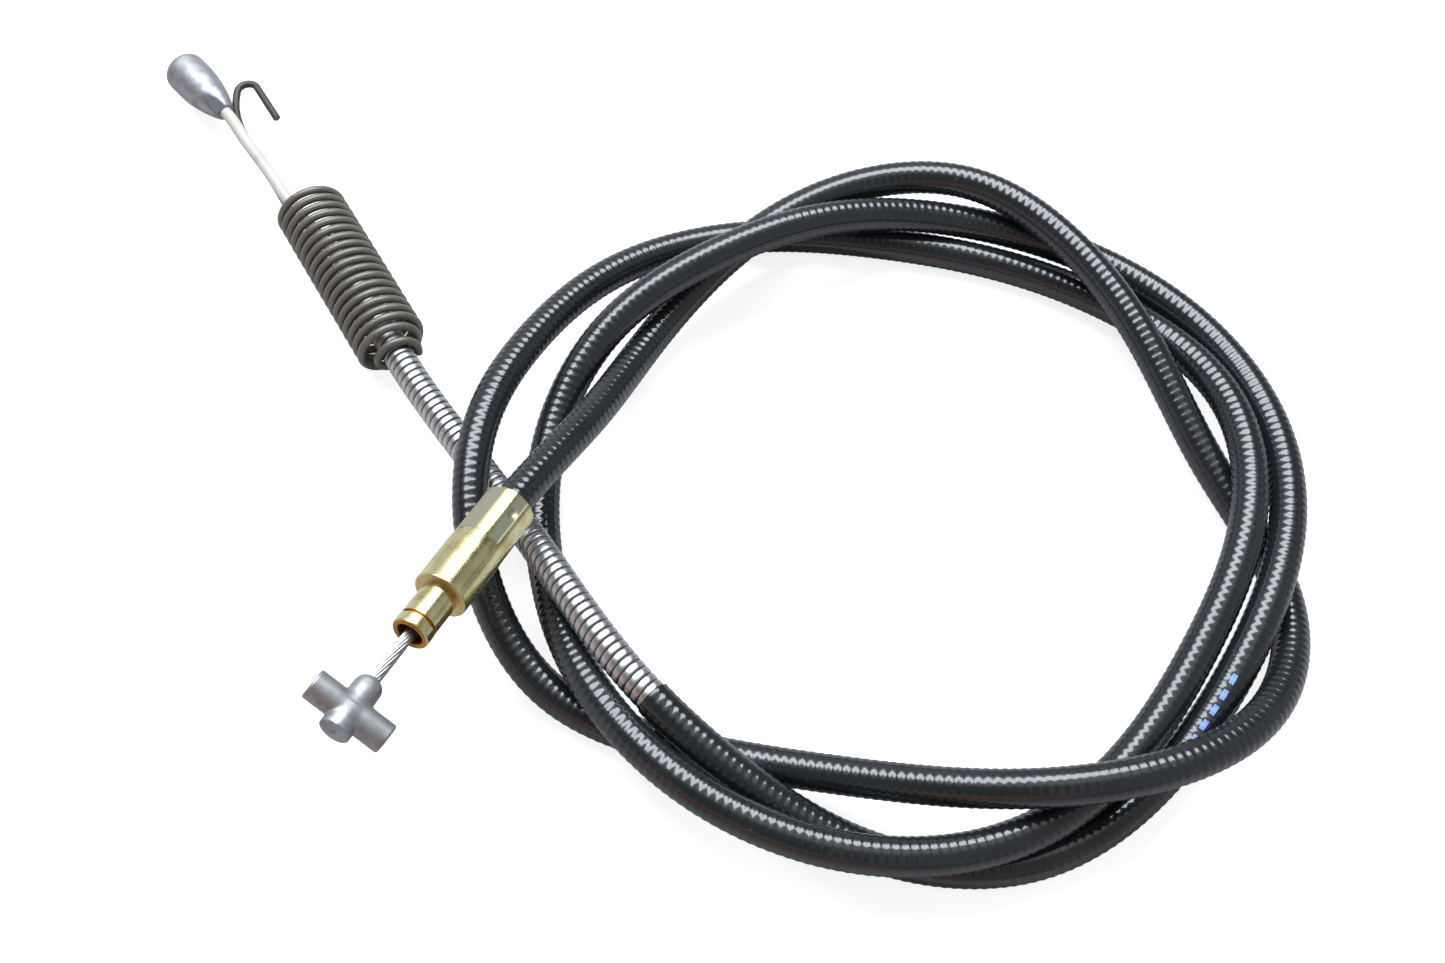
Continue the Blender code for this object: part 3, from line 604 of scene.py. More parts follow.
def drawn_steel(name, bright, gap_colour):
    """Bright drawn steel wire: mirror-like crests with oil and shade where two turns meet."""
    material, tree, surface, _, (stain, fine) = patterned(name, (3, 4.0), (0.35, 2.0))
    # Oil and painted shade: the gap colour darkens the steel by depth, where two turns or two wires meet
    depth = add_node(tree, "ShaderNodeAttribute", attribute_name="depth").outputs["Fac"]
    oil_and_gap_shade = add_node(tree, "ShaderNodeMapRange", {
        "Value": depth, "From Min": 0.12, "From Max": 0.75}, interpolation_type="SMOOTHSTEP")
    worn = add_node(tree, "ShaderNodeMapRange", {
        "Value": stain, "From Min": 0.35, "From Max": 0.75, "To Min": 0.0, "To Max": 0.25})
    share = add_node(tree, "ShaderNodeMath", {
        0: oil_and_gap_shade.outputs["Result"], 1: worn.outputs["Result"]}, operation="MAXIMUM")
    rough = add_node(tree, "ShaderNodeMapRange", {
        "Value": fine, "From Min": 0.3, "From Max": 0.7, "To Min": 0.3, "To Max": 0.4})
    colour = layered(tree, bright, (share.outputs[0], gap_colour))
    shade(tree, surface, {"Base Color": colour, "Metallic": 1.0, "Roughness": rough.outputs["Result"]},
          fine, strength=0.12, height=0.02)
    return material


def yellow_plate():
    """Turned steel, zinc plated and yellow chromated: pale gold that drifts to olive.

    Turning marks run round it, the crimped flats are dull, and it is painted amber in the groove, the bore
    and on forward faces, as a painted warm reflection.
    """
    colours = bpy.context.scene.finish_colours
    material, tree, surface, _, (drift, grain) = patterned("yellow_chromated_zinc", (5, 4.0), (0.3, 2.0))
    pressed = add_node(tree, "ShaderNodeAttribute", attribute_name="pressed").outputs["Fac"]
    # Painted warm reflection: amber in the groove and bore, and on faces that look forward
    painted_warm_reflection = add_node(tree, "ShaderNodeAttribute", attribute_name="painted_warm_reflection").outputs["Fac"]
    # Turning marks are 0.28 mm apart along the UV map, coarse enough to show, and long round it
    wound = add_node(tree, "ShaderNodeMapping", {
        "Vector": add_node(tree, "ShaderNodeTexCoord").outputs["UV"], "Scale": (60.0, per(0.28), 1.0)})
    turning = add_node(tree, "ShaderNodeTexNoise", {
        "Vector": wound.outputs["Vector"], "Scale": 1.0, "Detail": 1.0})
    deep = add_node(tree, "ShaderNodeMapRange", {
        "Value": drift, "From Min": 0.42, "From Max": 0.68, "To Min": 0.0, "To Max": 0.75})
    colour = layered(tree, colours.plate, (deep.outputs["Result"], colours.plate_deep),
                     (painted_warm_reflection, colours.plate_warm_reflection), (pressed, colours.plate_crimp))
    shine = add_node(tree, "ShaderNodeMapRange", {
        "Value": grain, "From Min": 0.3, "From Max": 0.7, "To Min": 0.16, "To Max": 0.3})
    dull = add_node(tree, "ShaderNodeMath", {0: pressed, 1: painted_warm_reflection}, operation="MAXIMUM")
    rough = add_node(tree, "ShaderNodeMix", {
        0: dull.outputs[0], 2: shine.outputs["Result"], 3: 0.5}, data_type="FLOAT")
    shade(tree, surface, {"Base Color": colour, "Metallic": 1.0, "Roughness": rough.outputs[0]},
          turning.outputs["Fac"], strength=0.1, height=0.02)
    return material


def cast_zinc():
    """Die cast zinc alloy: a satin, faintly cloudy skin, with painted shade on the trimmed flat."""
    colours = bpy.context.scene.finish_colours
    material, tree, surface, _, (cloud, grain) = patterned("die_cast_zinc", (2.2, 5.0), (0.4, 3.0))
    dull = add_node(tree, "ShaderNodeMapRange", {
        "Value": cloud, "From Min": 0.4, "From Max": 0.7, "To Min": 0.0, "To Max": 0.8})
    # Painted shade on the bullet's flat
    shaded_flat = add_node(tree, "ShaderNodeAttribute", attribute_name="shaded_flat").outputs["Fac"]
    colour = layered(tree, colours.zinc, (dull.outputs["Result"], colours.zinc_dark),
                     (shaded_flat, colours.zinc_flat_shade))
    rough = add_node(tree, "ShaderNodeMapRange", {
        "Value": cloud, "From Min": 0.3, "From Max": 0.7, "To Min": 0.46, "To Max": 0.6})
    shade(tree, surface, {"Base Color": colour, "Metallic": 0.85, "Roughness": rough.outputs["Result"]},
          grain, strength=0.25, height=0.05)
    return material


def oiled_steel():
    """Hard drawn spring wire with an oiled oxide skin: warm dark grey with a soft sheen.

    The hook is painted darker than the coil, as painted shade.
    """
    colours = bpy.context.scene.finish_colours
    material, tree, surface, _, (cloud, grain) = patterned("oiled_spring_steel", (2.5, 4.0), (0.35, 2.0))
    # Painted shade: 0 on the coil and 1 on the hook
    hooked = add_node(tree, "ShaderNodeAttribute", attribute_name="hooked").outputs["Fac"]
    colour = layered(tree, colours.spring, (cloud, colours.spring_dark), (hooked, colours.spring_hook_shade))
    rough = add_node(tree, "ShaderNodeMapRange", {
        "Value": grain, "From Min": 0.3, "From Max": 0.7, "To Min": 0.42, "To Max": 0.52})
    shade(tree, surface, {"Base Color": colour, "Metallic": 0.5, "Roughness": rough.outputs["Result"]},
          grain, strength=0.12, height=0.03)
    return material


def natural_nylon():
    """Natural nylon, moulded on the wire: milky off-white, a little greyed by handling."""
    colours = bpy.context.scene.finish_colours
    material, tree, surface, _, (smudge, grain) = patterned("natural_nylon", (4, 4.0), (0.6, 2.0))
    share = add_node(tree, "ShaderNodeMapRange", {
        "Value": smudge, "From Min": 0.45, "From Max": 0.75, "To Min": 0.0, "To Max": 0.6})
    colour = layered(tree, colours.nylon, (share.outputs["Result"], colours.nylon_grey))
    shade(tree, surface, {
        "Base Color": colour, "Roughness": 0.38, "IOR": 1.53, "Subsurface Weight": 0.15,
        "Subsurface Scale": 0.5 * MM}, grain, strength=0.15, height=0.03)
    return material


class CABLE_OT_stage(bpy.types.Operator):
    """Floor, soft lights, white surroundings and the camera."""
    bl_idname = "clutch_cable.stage"
    bl_label = "Stage"
    # Half the floor's side, and how much it glows for the camera
    FLOOR_REACH = 3.0
    FLOOR_LIFT = 0.8

    def execute(self, context):
        scene = context.scene
        scene.view_settings.view_transform = "Standard"
        self.add_camera(scene)
        self.add_floor(scene)
        self.add_world(scene)
        for lamp in LAMPS:
            self.add_lamp(scene, *lamp)
        return {"FINISHED"}

    def add_camera(self, scene):
        """A camera with the picture's focal length, tilted about X from straight down."""
        data = bpy.data.cameras.new("camera")
        data.sensor_width = SENSOR_WIDTH
        data.lens = SENSOR_WIDTH * FOCAL_PIXELS / PICTURE_WIDTH
        camera = bpy.data.objects.new("camera", data)
        camera.location = CAMERA_PLACE
        camera.rotation_euler = (math.radians(CAMERA_TILT), 0.0, 0.0)
        scene.collection.objects.link(camera)
        scene.camera = camera

    def add_floor(self, scene):
        """A matt floor that glows for the camera, so it is white and still holds shadows."""
        reach = self.FLOOR_REACH
        mesh = bpy.data.meshes.new("floor")
        corners = [(-reach, -reach, 0.0), (reach, -reach, 0.0), (reach, reach, 0.0), (-reach, reach, 0.0)]
        mesh.from_pydata(corners, [], [(0, 1, 2, 3)])
        floor = bpy.data.objects.new("floor", mesh)
        scene.collection.objects.link(floor)
        material, tree, surface = new_material("pale_matt_floor")
        path = add_node(tree, "ShaderNodeLightPath").outputs
        seen = add_node(tree, "ShaderNodeMath", {
            0: path["Is Camera Ray"], 1: path["Is Transmission Ray"]}, operation="ADD")
        lift = add_node(tree, "ShaderNodeMath", {
            0: seen.outputs[0], 1: self.FLOOR_LIFT}, operation="MULTIPLY")
        matt = add_node(tree, "ShaderNodeBsdfDiffuse", {"Color": rgba(scene.finish_colours.floor)})
        glow = add_node(tree, "ShaderNodeEmission", {"Strength": lift.outputs[0]})
        both = add_node(tree, "ShaderNodeAddShader", {
            0: matt.outputs["BSDF"], 1: glow.outputs["Emission"]})
        tree.links.new(both.outputs[0], surface)
        mesh.materials.append(material)

    def add_world(self, scene):
        """White to the camera and an even soft light.

        Reflections see a horizon that is dimmer overhead and on the right, a soft glow
        round the key lamp and a warm board low in front.
        """
        world = bpy.data.worlds.new("studio")
        world.use_nodes = True
        tree = world.node_tree
        tree.nodes.clear()
        path = add_node(tree, "ShaderNodeLightPath").outputs
        direction = add_node(tree, "ShaderNodeTexCoord").outputs["Generated"]
        parts = add_node(tree, "ShaderNodeSeparateXYZ", {"Vector": direction}).outputs
        off_board, to_key = (
            add_node(tree, "ShaderNodeVectorMath", {0: direction, 1: aim}, operation="DOT_PRODUCT")
            for aim in (heading(BOARD_AIM + 180), Vector(KEY_PLACE).normalized()))
        # Each is 1 up to the first value, rests at the third from the second, and falls smoothly between
        overhead, aside, low, facing = (
            add_node(tree, "ShaderNodeMapRange", {
                "Value": value, "From Min": start, "From Max": end, "To Min": 1.0, "To Max": rest},
                interpolation_type="SMOOTHSTEP").outputs["Result"]
            for value, start, end, rest in (
                (parts["Z"], 0.15, 0.6, 0.25),
                (parts["X"], -0.35, 0.6, 0.3),
                (parts["Z"], 0.2, 0.32, 0.0),
                (off_board.outputs["Value"], -0.88, -0.68, 0.0)))
        sky = add_node(tree, "ShaderNodeMath", {0: overhead, 1: aside}, operation="MULTIPLY")
        sky = add_node(tree, "ShaderNodeMath", {0: sky.outputs[0], 1: SKY_LEVEL}, operation="MULTIPLY")
        board = add_node(tree, "ShaderNodeMath", {0: low, 1: facing}, operation="MULTIPLY")
        board = add_node(tree, "ShaderNodeMath", {
            0: board.outputs[0], 1: path["Is Glossy Ray"]}, operation="MULTIPLY")
        colour = add_node(tree, "ShaderNodeMix", {
            0: board.outputs[0], 6: (1.0, 1.0, 1.0, 1.0), 7: rgba(scene.finish_colours.warm_board)},
            data_type="RGBA")
        # The board is twice as bright as what it stands before
        mirrored = add_node(tree, "ShaderNodeMath", {
            0: sky.outputs[0], 1: board.outputs[0], 2: sky.outputs[0]}, operation="MULTIPLY_ADD")
        glow = add_node(tree, "ShaderNodeMapRange", {
            "Value": to_key.outputs["Value"], "From Min": math.cos(math.radians(GLOW_REACH)),
            "From Max": math.cos(math.radians(GLOW_CORE)), "To Min": 0.0, "To Max": GLOW_LEVEL})
        mirrored = add_node(tree, "ShaderNodeMath", {
            0: mirrored.outputs[0], 1: glow.outputs["Result"]}, operation="ADD")
        glossy = add_node(tree, "ShaderNodeMix", {
            0: path["Is Glossy Ray"], 2: SOFT_LEVEL, 3: mirrored.outputs[0]}, data_type="FLOAT")
        seen = add_node(tree, "ShaderNodeMath", {
            0: path["Is Camera Ray"], 1: path["Is Transmission Ray"]}, operation="ADD")
        strength = add_node(tree, "ShaderNodeMix", {
            0: seen.outputs[0], 2: glossy.outputs[0], 3: 1.0}, data_type="FLOAT")
        background = add_node(tree, "ShaderNodeBackground", {
            "Color": colour.outputs[2], "Strength": strength.outputs[0]})
        add_node(tree, "ShaderNodeOutputWorld", {"Surface": background.outputs["Background"]})
        scene.world = world

    def add_lamp(self, scene, name, place, along, size, watts, hex_colour):
        """An area lamp that faces the cable, its first side along a level direction."""
        data = bpy.data.lights.new(name, "AREA")
        data.shape = "RECTANGLE"
        data.size, data.size_y = size
        data.energy = watts
        data.color = linear(hex_colour)
        lamp = bpy.data.objects.new(name, data)
        lamp.location = place
        back = Vector(place).normalized()
        side = Vector(heading(along))
        side = (side - back * side.dot(back)).normalized()
        lamp.rotation_euler = Matrix((side, back.cross(side), back)).transposed().to_euler()
        scene.collection.objects.link(lamp)


class CABLE_OT_jacket(bpy.types.Operator):
    """The black jacket, which sinks a little between the turns of the conduit."""
    bl_idname = "clutch_cable.jacket"
    bl_label = "Jacket"
    SIDES = 24
    PER_TURN = 4
    BORE_STEP = 7.0 * MM
    CENTRES = 400

    def execute(self, context):
        sizes = context.scene.cable_sizes
        line = cable_line(sizes)
        end = jacket_end(sizes, line)
        at, phase = screw_rows(0.0, end, sizes.rib_pitch, self.PER_TURN, self.SIDES)
        bore_at = level_rows(np.linspace(end, 0.0, int(end / self.BORE_STEP)), self.SIDES)
        valley = 0.5 - 0.5 * np.cos(2 * math.pi * phase)
        outer = sizes.jacket_diameter / 2 - sizes.rib_depth * valley
        inner = np.full(bore_at.shape, sizes.jacket_bore / 2)
        along = np.vstack((at, bore_at))
        grid = round_surface(line, along, np.vstack((outer, inner)), round_angles(self.SIDES))
        partners = partner_rows(((len(at), self.PER_TURN), (len(bore_at), 0)))
        around = np.broadcast_to(np.arange(self.SIDES) / self.SIDES, along.shape)
        marks = {"along": along, "around": around}
        mesh = grid_mesh("ribbed_jacket", grid, ring=True, partners=partners, marks=marks)
        merge_points(mesh)
        piece = add_piece(mesh, extruded_vinyl(), "sheath", ["jacket"], sharp=70.0)
        tuple(ferrule_frame()[:3, 3])
        return {"FINISHED"}


class CABLE_OT_conduit(bpy.types.Operator):
    """The spiral conduit: plain under the jacket, with its separate turns where it is bare."""
    bl_idname = "clutch_cable.conduit"
    bl_label = "Spiral conduit"
    SIDES = 40
    PER_TURN = 10
    PLAIN_STEP = 9.0 * MM
    GAP_SHARPNESS = 4.5
    CENTRES = 420

    def execute(self, context):
        sizes = context.scene.cable_sizes
        line = cable_line(sizes)
        total = arc_lengths(line)[-1]
        bare_from = jacket_end(sizes, line) + CLEARANCE
        plain_at = level_rows(np.linspace(0.0, bare_from, int(bare_from / self.PLAIN_STEP)), self.SIDES)
        at, phase = screw_rows(bare_from, total, sizes.rib_pitch, self.PER_TURN, self.SIDES)
        bore_at = level_rows(np.linspace(total, 0.0, len(plain_at)), self.SIDES)
        gap = np.abs(2 * (phase - np.round(phase))) ** self.GAP_SHARPNESS
        ribbed = sizes.conduit_diameter / 2 - sizes.gap_depth * gap
        plain = np.full(plain_at.shape, sizes.conduit_core / 2)
        bore = np.full(bore_at.shape, sizes.conduit_bore / 2)
        grid = round_surface(line, np.vstack((plain_at, at, bore_at)), np.vstack((plain, ribbed, bore)),
                             round_angles(self.SIDES))
        partners = partner_rows(((len(plain_at), 0), (len(at), self.PER_TURN), (len(bore_at), 0)))
        depth = np.vstack((np.ones(plain_at.shape), gap, np.ones(bore_at.shape)))
        mesh = grid_mesh("spiral_conduit_turns", grid, ring=True, partners=partners, marks={"depth": depth})
        merge_points(mesh)
        colours = context.scene.finish_colours
        steel = drawn_steel("bright_drawn_steel", colours.conduit, colours.conduit_gap)
        piece = add_piece(mesh, steel, "sheath", ["spiral_conduit"], sharp=80.0)
        tuple(ferrule_frame()[:3, 3])
        return {"FINISHED"}


def dense_outline(points, step):
    """The outline with more points on each straight run, none further apart than step."""
    points = np.array(points, float)
    made = []
    for start, end in zip(points, points[1:]):
        count = max(1, math.ceil(np.linalg.norm(end - start) / step))
        made.append(start + (end - start) * np.linspace(0.0, 1.0, count, endpoint=False)[:, None])
    return np.vstack((*made, points[-1:]))


def quarter_round(centre_r, centre_z, radius, start, end, steps):
    """Points of a rounded edge, (radius, height), from one angle to another in degrees."""
    angle = np.radians(np.linspace(start, end, steps + 1))
    return list(zip(centre_r + radius * np.cos(angle), centre_z + radius * np.sin(angle)))


def smooth_step(low, high, value):
    """0 up to low, 1 from high, and a smooth rise between them."""
    t = np.clip((value - low) / (high - low), 0.0, 1.0)
    return t * t * (3 - 2 * t)


class CABLE_OT_ferrule(bpy.types.Operator):
    """The crimped ferrule, with its flats, punch mark, neck, groove and rounded lip."""
    bl_idname = "clutch_cable.ferrule"
    bl_label = "Ferrule"
    COLUMNS = 180
    OUTLINE_STEP = 0.3 * MM
    ROUND_STEPS = (6, 8)
    WIDE_FLAT_ANGLE = 120.0
    SIDE_FLAT_ANGLE = 52.0
    FLAT_FADE = (-0.5 * MM, 0.4 * MM)
    SIDE_FADE = 0.15 * MM
    DIMPLE_FLOOR = 0.35
    LEAST_FACING = 0.3
    # Depth at which plate counts as pressed, and a margin that tells outside from bore
    PRESSED_DEPTH = 0.05 * MM
    MARGIN = 0.1 * MM
    # Shares of painted warm reflection in the groove and bores, and on faces that look forward
    WARM_REFLECTION_HOLLOW = 0.9
    WARM_REFLECTION_FORWARD = 0.5

    def execute(self, context):
        sizes = context.scene.ferrule_sizes
        outline = dense_outline(self.outline(sizes), self.OUTLINE_STEP)[:-1]
        height = outline[:, 1:]
        angle = round_angles(self.COLUMNS)[None, :]
        radius = np.repeat(outline[:, :1], self.COLUMNS, axis=1)
        outside = (radius > sizes.cavity_diameter / 2 + self.MARGIN) & (height < sizes.sleeve_length)
        flattened = np.where(outside, self.flatten(sizes, radius, height, angle), radius)
        pressed = np.clip((radius - flattened) / self.PRESSED_DEPTH, 0.0, 1.0)
        # Painted warm reflection: most in the groove and bores, and more on faces the more they look forward
        forward = np.clip(-unit(np.gradient(outline, axis=0))[:, :1], 0.0, 1.0)
        hollow = radius < sizes.neck_diameter / 2 - self.MARGIN
        painted_warm_reflection = np.where(hollow, self.WARM_REFLECTION_HOLLOW, self.WARM_REFLECTION_FORWARD * forward)
        grid = np.stack((flattened * np.cos(angle), flattened * np.sin(angle),
                         np.repeat(height, self.COLUMNS, axis=1)), axis=-1)
        marks = {"pressed": pressed, "painted_warm_reflection": painted_warm_reflection}
        mesh = grid_mesh("crimped_ferrule", put(grid, ferrule_frame()), ring=True, marks=marks)
        add_piece(mesh, yellow_plate(), "sheath", ["ferrule"], sharp=38.0)
        return {"FINISHED"}

    def outline(self, sizes):
        """Half section, up the outside, in at the mouth and down the bore."""
        edge = sizes.sleeve_edge
        lip_edge = sizes.lip_edge
        cut = sizes.rear_chamfer
        mouth = sizes.mouth_chamfer
        rear = sizes.rear_diameter / 2
        sleeve = sizes.sleeve_diameter / 2
        neck = sizes.neck_diameter / 2
        lip = sizes.lip_diameter / 2
        bore = sizes.mouth_bore / 2
        cavity = sizes.cavity_diameter / 2
        end = sizes.sleeve_length + sizes.neck_length
        groove = end - sizes.lip_length
        floor = sizes.sleeve_length - sizes.sleeve_floor
        points = [(cavity, 0.0), (rear - cut, 0.0), (rear, cut), (rear, sizes.crimp_length)]
        points += [(sleeve, sizes.crimp_length + sizes.crimp_flare)]
        points += quarter_round(sleeve - edge, sizes.sleeve_length - edge, edge, 0, 90, self.ROUND_STEPS[0])
        points += [(neck, sizes.sleeve_length), (neck, groove - sizes.groove_width)]
        bottom = neck - sizes.groove_depth
        points += [(bottom, groove - sizes.groove_width), (bottom, groove), (lip, groove)]
        points += quarter_round(lip - lip_edge, end - lip_edge, lip_edge, 0, 90, self.ROUND_STEPS[1])
        points += [(bore + mouth, end), (bore, end - mouth), (bore, floor), (cavity, floor), (cavity, 0.0)]
        return points

    def flatten(self, sizes, radius, height, angle):
        """Outer radius less what the crimping tool pressed in.

        A flat at distance d caps the radius at d / cos(angle from its middle).
        """
        near, far = (sizes.flat_length + reach for reach in self.FLAT_FADE)
        fade = 1 - smooth_step(near, far, height)
        facing = np.cos(angle - math.radians(self.WIDE_FLAT_ANGLE))
        cap = sizes.flat_distance / np.maximum(facing, self.LEAST_FACING)
        cap = np.where(facing > self.LEAST_FACING, cap, FAR)
        made = radius + (np.minimum(radius, cap) - radius) * fade
        turn = angle - math.radians(self.SIDE_FLAT_ANGLE)
        facing = np.cos(turn)
        aside = np.where(facing > self.LEAST_FACING, np.abs(radius * np.sin(turn)), FAR)
        half = sizes.side_flat_width / 2
        inside = 1 - smooth_step(half - self.SIDE_FADE, half + self.SIDE_FADE, aside)
        cap = sizes.side_flat_distance / np.maximum(facing, self.LEAST_FACING)
        made = made + (np.minimum(made, cap) - made) * fade * inside
        away = np.hypot(aside, height - sizes.dimple_place) / (sizes.dimple_diameter / 2)
        return made - sizes.dimple_depth * (1 - smooth_step(self.DIMPLE_FLOOR, 1.0, away))


def along_spokes(starts, directions, distance, reach):
    """Points where spokes leave a solid, found by halving the span between in and out.

    distance gives a point's signed distance from the surface, negative inside.
    """
    low = np.zeros(np.broadcast_shapes(starts.shape[:-1], directions.shape[:-1]))
    high = np.full(low.shape, reach)
    for _ in range(HALVINGS):
        middle = (low + high) / 2
        inside = distance(starts + directions * middle[..., None]) < 0
        low = np.where(inside, middle, low)
        high = np.where(inside, high, middle)
    return starts + directions * low[..., None]


def rod_distance(across, along, radius, low, high, edge):
    """Signed distance from a rod between two heights, with its rims rounded by edge."""
    middle = (low + high) / 2
    out = np.stack((across - radius + edge, np.abs(along - middle) - (high - low) / 2 + edge))
    return np.linalg.norm(np.maximum(out, 0), axis=0) + np.minimum(out.max(0), 0) - edge


def weld(one, other, fillet):
    """Smooth lesser of two lengths, such as signed distances, with a fillet where they meet."""
    share = np.clip(0.5 + 0.5 * (other - one) / fillet, 0, 1)
    return other + (one - other) * share - fillet * share * (1 - share)


class CABLE_OT_tee_nipple(bpy.types.Operator):
    """The cast T nipple: cross bar, domed boss round the wire and flat boss in front."""
    bl_idname = "clutch_cable.tee_nipple"
    bl_label = "T nipple"
    COLUMNS = 160
    ROWS = 150
    # More rows at the bar's rims and where the bosses rise from it
    RIM_ROWS = 8
    RIM_SPAN = 0.6 * MM
    BOSS_ROWS = 22
    BOSS_SPAN = (2.4 * MM, 3.7 * MM)
    INSET = 0.001 * MM
    REACH = 12 * MM
    ROLL = -25.0
    # How far the bosses reach past the bar's axis, rounded rims and fillets
    BOSS_ROOT = 0.5 * MM
    BAR_EDGE = 0.5 * MM
    FACE_EDGE = 0.25 * MM
    FRONT_FILLET = 0.5 * MM
    REAR_FILLET = 0.9 * MM
    # Marks that the mould's pin leaves in the flat face: (depth, width)
    CENTRE_MARK = (0.35 * MM, 0.45 * MM)
    RING_MARK = (0.06 * MM, 0.16 * MM)
    RING_RADIUS = 1.9 * MM
    MARK_ZONE = 1.0 * MM

    def execute(self, context):
        sizes = context.scene.nipple_sizes
        ferrule = context.scene.ferrule_sizes
        place = ferrule.sleeve_length + ferrule.neck_length + sizes.exposed_wire + sizes.rear_boss_reach
        half = sizes.bar_length / 2 - self.INSET
        rims = np.linspace(0, self.RIM_SPAN, self.RIM_ROWS)
        bosses = np.linspace(*self.BOSS_SPAN, self.BOSS_ROWS)
        across = np.concatenate((
            np.linspace(-half, half, self.ROWS), half - rims, rims - half, bosses, -bosses))
        across = np.unique(np.round(across, 7))
        angle = round_angles(self.COLUMNS)
        starts = np.zeros((len(across), 1, 3))
        starts[:, 0, 0] = across
        directions = np.zeros((1, self.COLUMNS, 3))
        directions[0, :, 1] = -np.sin(angle)
        directions[0, :, 2] = np.cos(angle)
        grid = along_spokes(starts, directions, lambda p: self.distance(sizes, p), self.REACH)
        turn = math.radians(self.ROLL)
        cos, sin = math.cos(turn), math.sin(turn)
        roll = np.array(((cos, -sin, 0), (sin, cos, 0), (0, 0, 1)))
        mesh = grid_mesh("cast_tee_nipple", put(grid @ roll.T, ferrule_frame(place)))
        add_piece(mesh, cast_zinc(), "tee_end", ["tee_nipple"], sharp=50.0)
        return {"FINISHED"}

    def distance(self, sizes, p):
        """Signed distance of the casting: bar along X, bosses along Z, fillets between them."""
        x, y, z = p[..., 0], p[..., 1], p[..., 2]
        bar = rod_distance(np.hypot(y, z), x, sizes.bar_diameter / 2,
                           -sizes.bar_length / 2, sizes.bar_length / 2, self.BAR_EDGE)
        away = np.hypot(x, y)
        front = rod_distance(away, z, sizes.front_boss_diameter / 2,
                             -self.BOSS_ROOT, sizes.front_boss_reach, self.FACE_EDGE)
        centre = self.CENTRE_MARK[0] * np.exp(-(away / self.CENTRE_MARK[1]) ** 2)
        ring = self.RING_MARK[0] * np.exp(-((away - self.RING_RADIUS) / self.RING_MARK[1]) ** 2)
        front = front + (centre + ring) * (z > sizes.front_boss_reach - self.MARK_ZONE)
        rear = rod_distance(away, z, sizes.rear_boss_diameter / 2,
                            -sizes.rear_boss_reach, self.BOSS_ROOT, sizes.rear_boss_dome)
        return weld(weld(bar, front, self.FRONT_FILLET), rear, self.REAR_FILLET)


class CABLE_OT_bullet_nipple(bpy.types.Operator):
    """The cast bullet nipple: thin neck, swelling nose with a flat, round body and end."""
    bl_idname = "clutch_cable.bullet_nipple"
    bl_label = "Bullet nipple"
    COLUMNS = 144
    NOSE_STEPS = 70
    NOSE_FULLNESS = 0.85
    END_STEPS = 10
    OUTLINE_STEP = 0.4 * MM
    POLE_RADIUS = 0.02 * MM
    FLAT_TILT = 24.0
    FLAT_ROLL = 62.0
    FLAT_EDGE = 0.12 * MM
    LEAST_FACING = 0.05
    LEAST_RADIUS = 0.1 * MM
    FLAT_SHADE_FADE = 0.3 * MM

    def execute(self, context):
        sizes = context.scene.nipple_sizes
        neck, body = sizes.bullet_neck / 2, sizes.bullet_diameter / 2
        share = np.linspace(0.0, 1.0, self.NOSE_STEPS)
        swell = np.sin(share * math.pi / 2) ** self.NOSE_FULLNESS
        nose = list(zip(neck + (body - neck) * swell, sizes.bullet_nose * share))
        edge = sizes.bullet_edge
        top = sizes.bullet_length
        end = quarter_round(body - edge, top - edge, edge, 0, 90, self.END_STEPS)
        outline = dense_outline([*nose, *end, (self.POLE_RADIUS, top)], self.OUTLINE_STEP)
        height, angle = np.meshgrid(outline[:, 1], round_angles(self.COLUMNS), indexing="ij")
        tilt = math.radians(self.FLAT_TILT)
        facing = math.cos(tilt) * np.cos(angle - math.radians(self.FLAT_ROLL))
        over = sizes.bullet_flat + math.sin(tilt) * (height - sizes.bullet_flat_place)
        cap = np.where(facing > self.LEAST_FACING, over / np.maximum(facing, self.LEAST_FACING), FAR)
        radius = weld(outline[:, :1], np.maximum(cap, self.LEAST_RADIUS), self.FLAT_EDGE)
        grid = np.stack((radius * np.cos(angle), radius * np.sin(angle), height), axis=-1)
        # Painted shade on the flat: 1 where the flat cuts the nose, fading over a short span
        shaded_flat = 1 - smooth_step(0.0, self.FLAT_SHADE_FADE, cap - outline[:, :1])
        mesh = grid_mesh("cast_bullet_nipple", put(grid, bullet_frame()), marks={"shaded_flat": shaded_flat})
        add_piece(mesh, cast_zinc(), "bullet_end", ["bullet_nipple"], sharp=50.0)
        return {"FINISHED"}


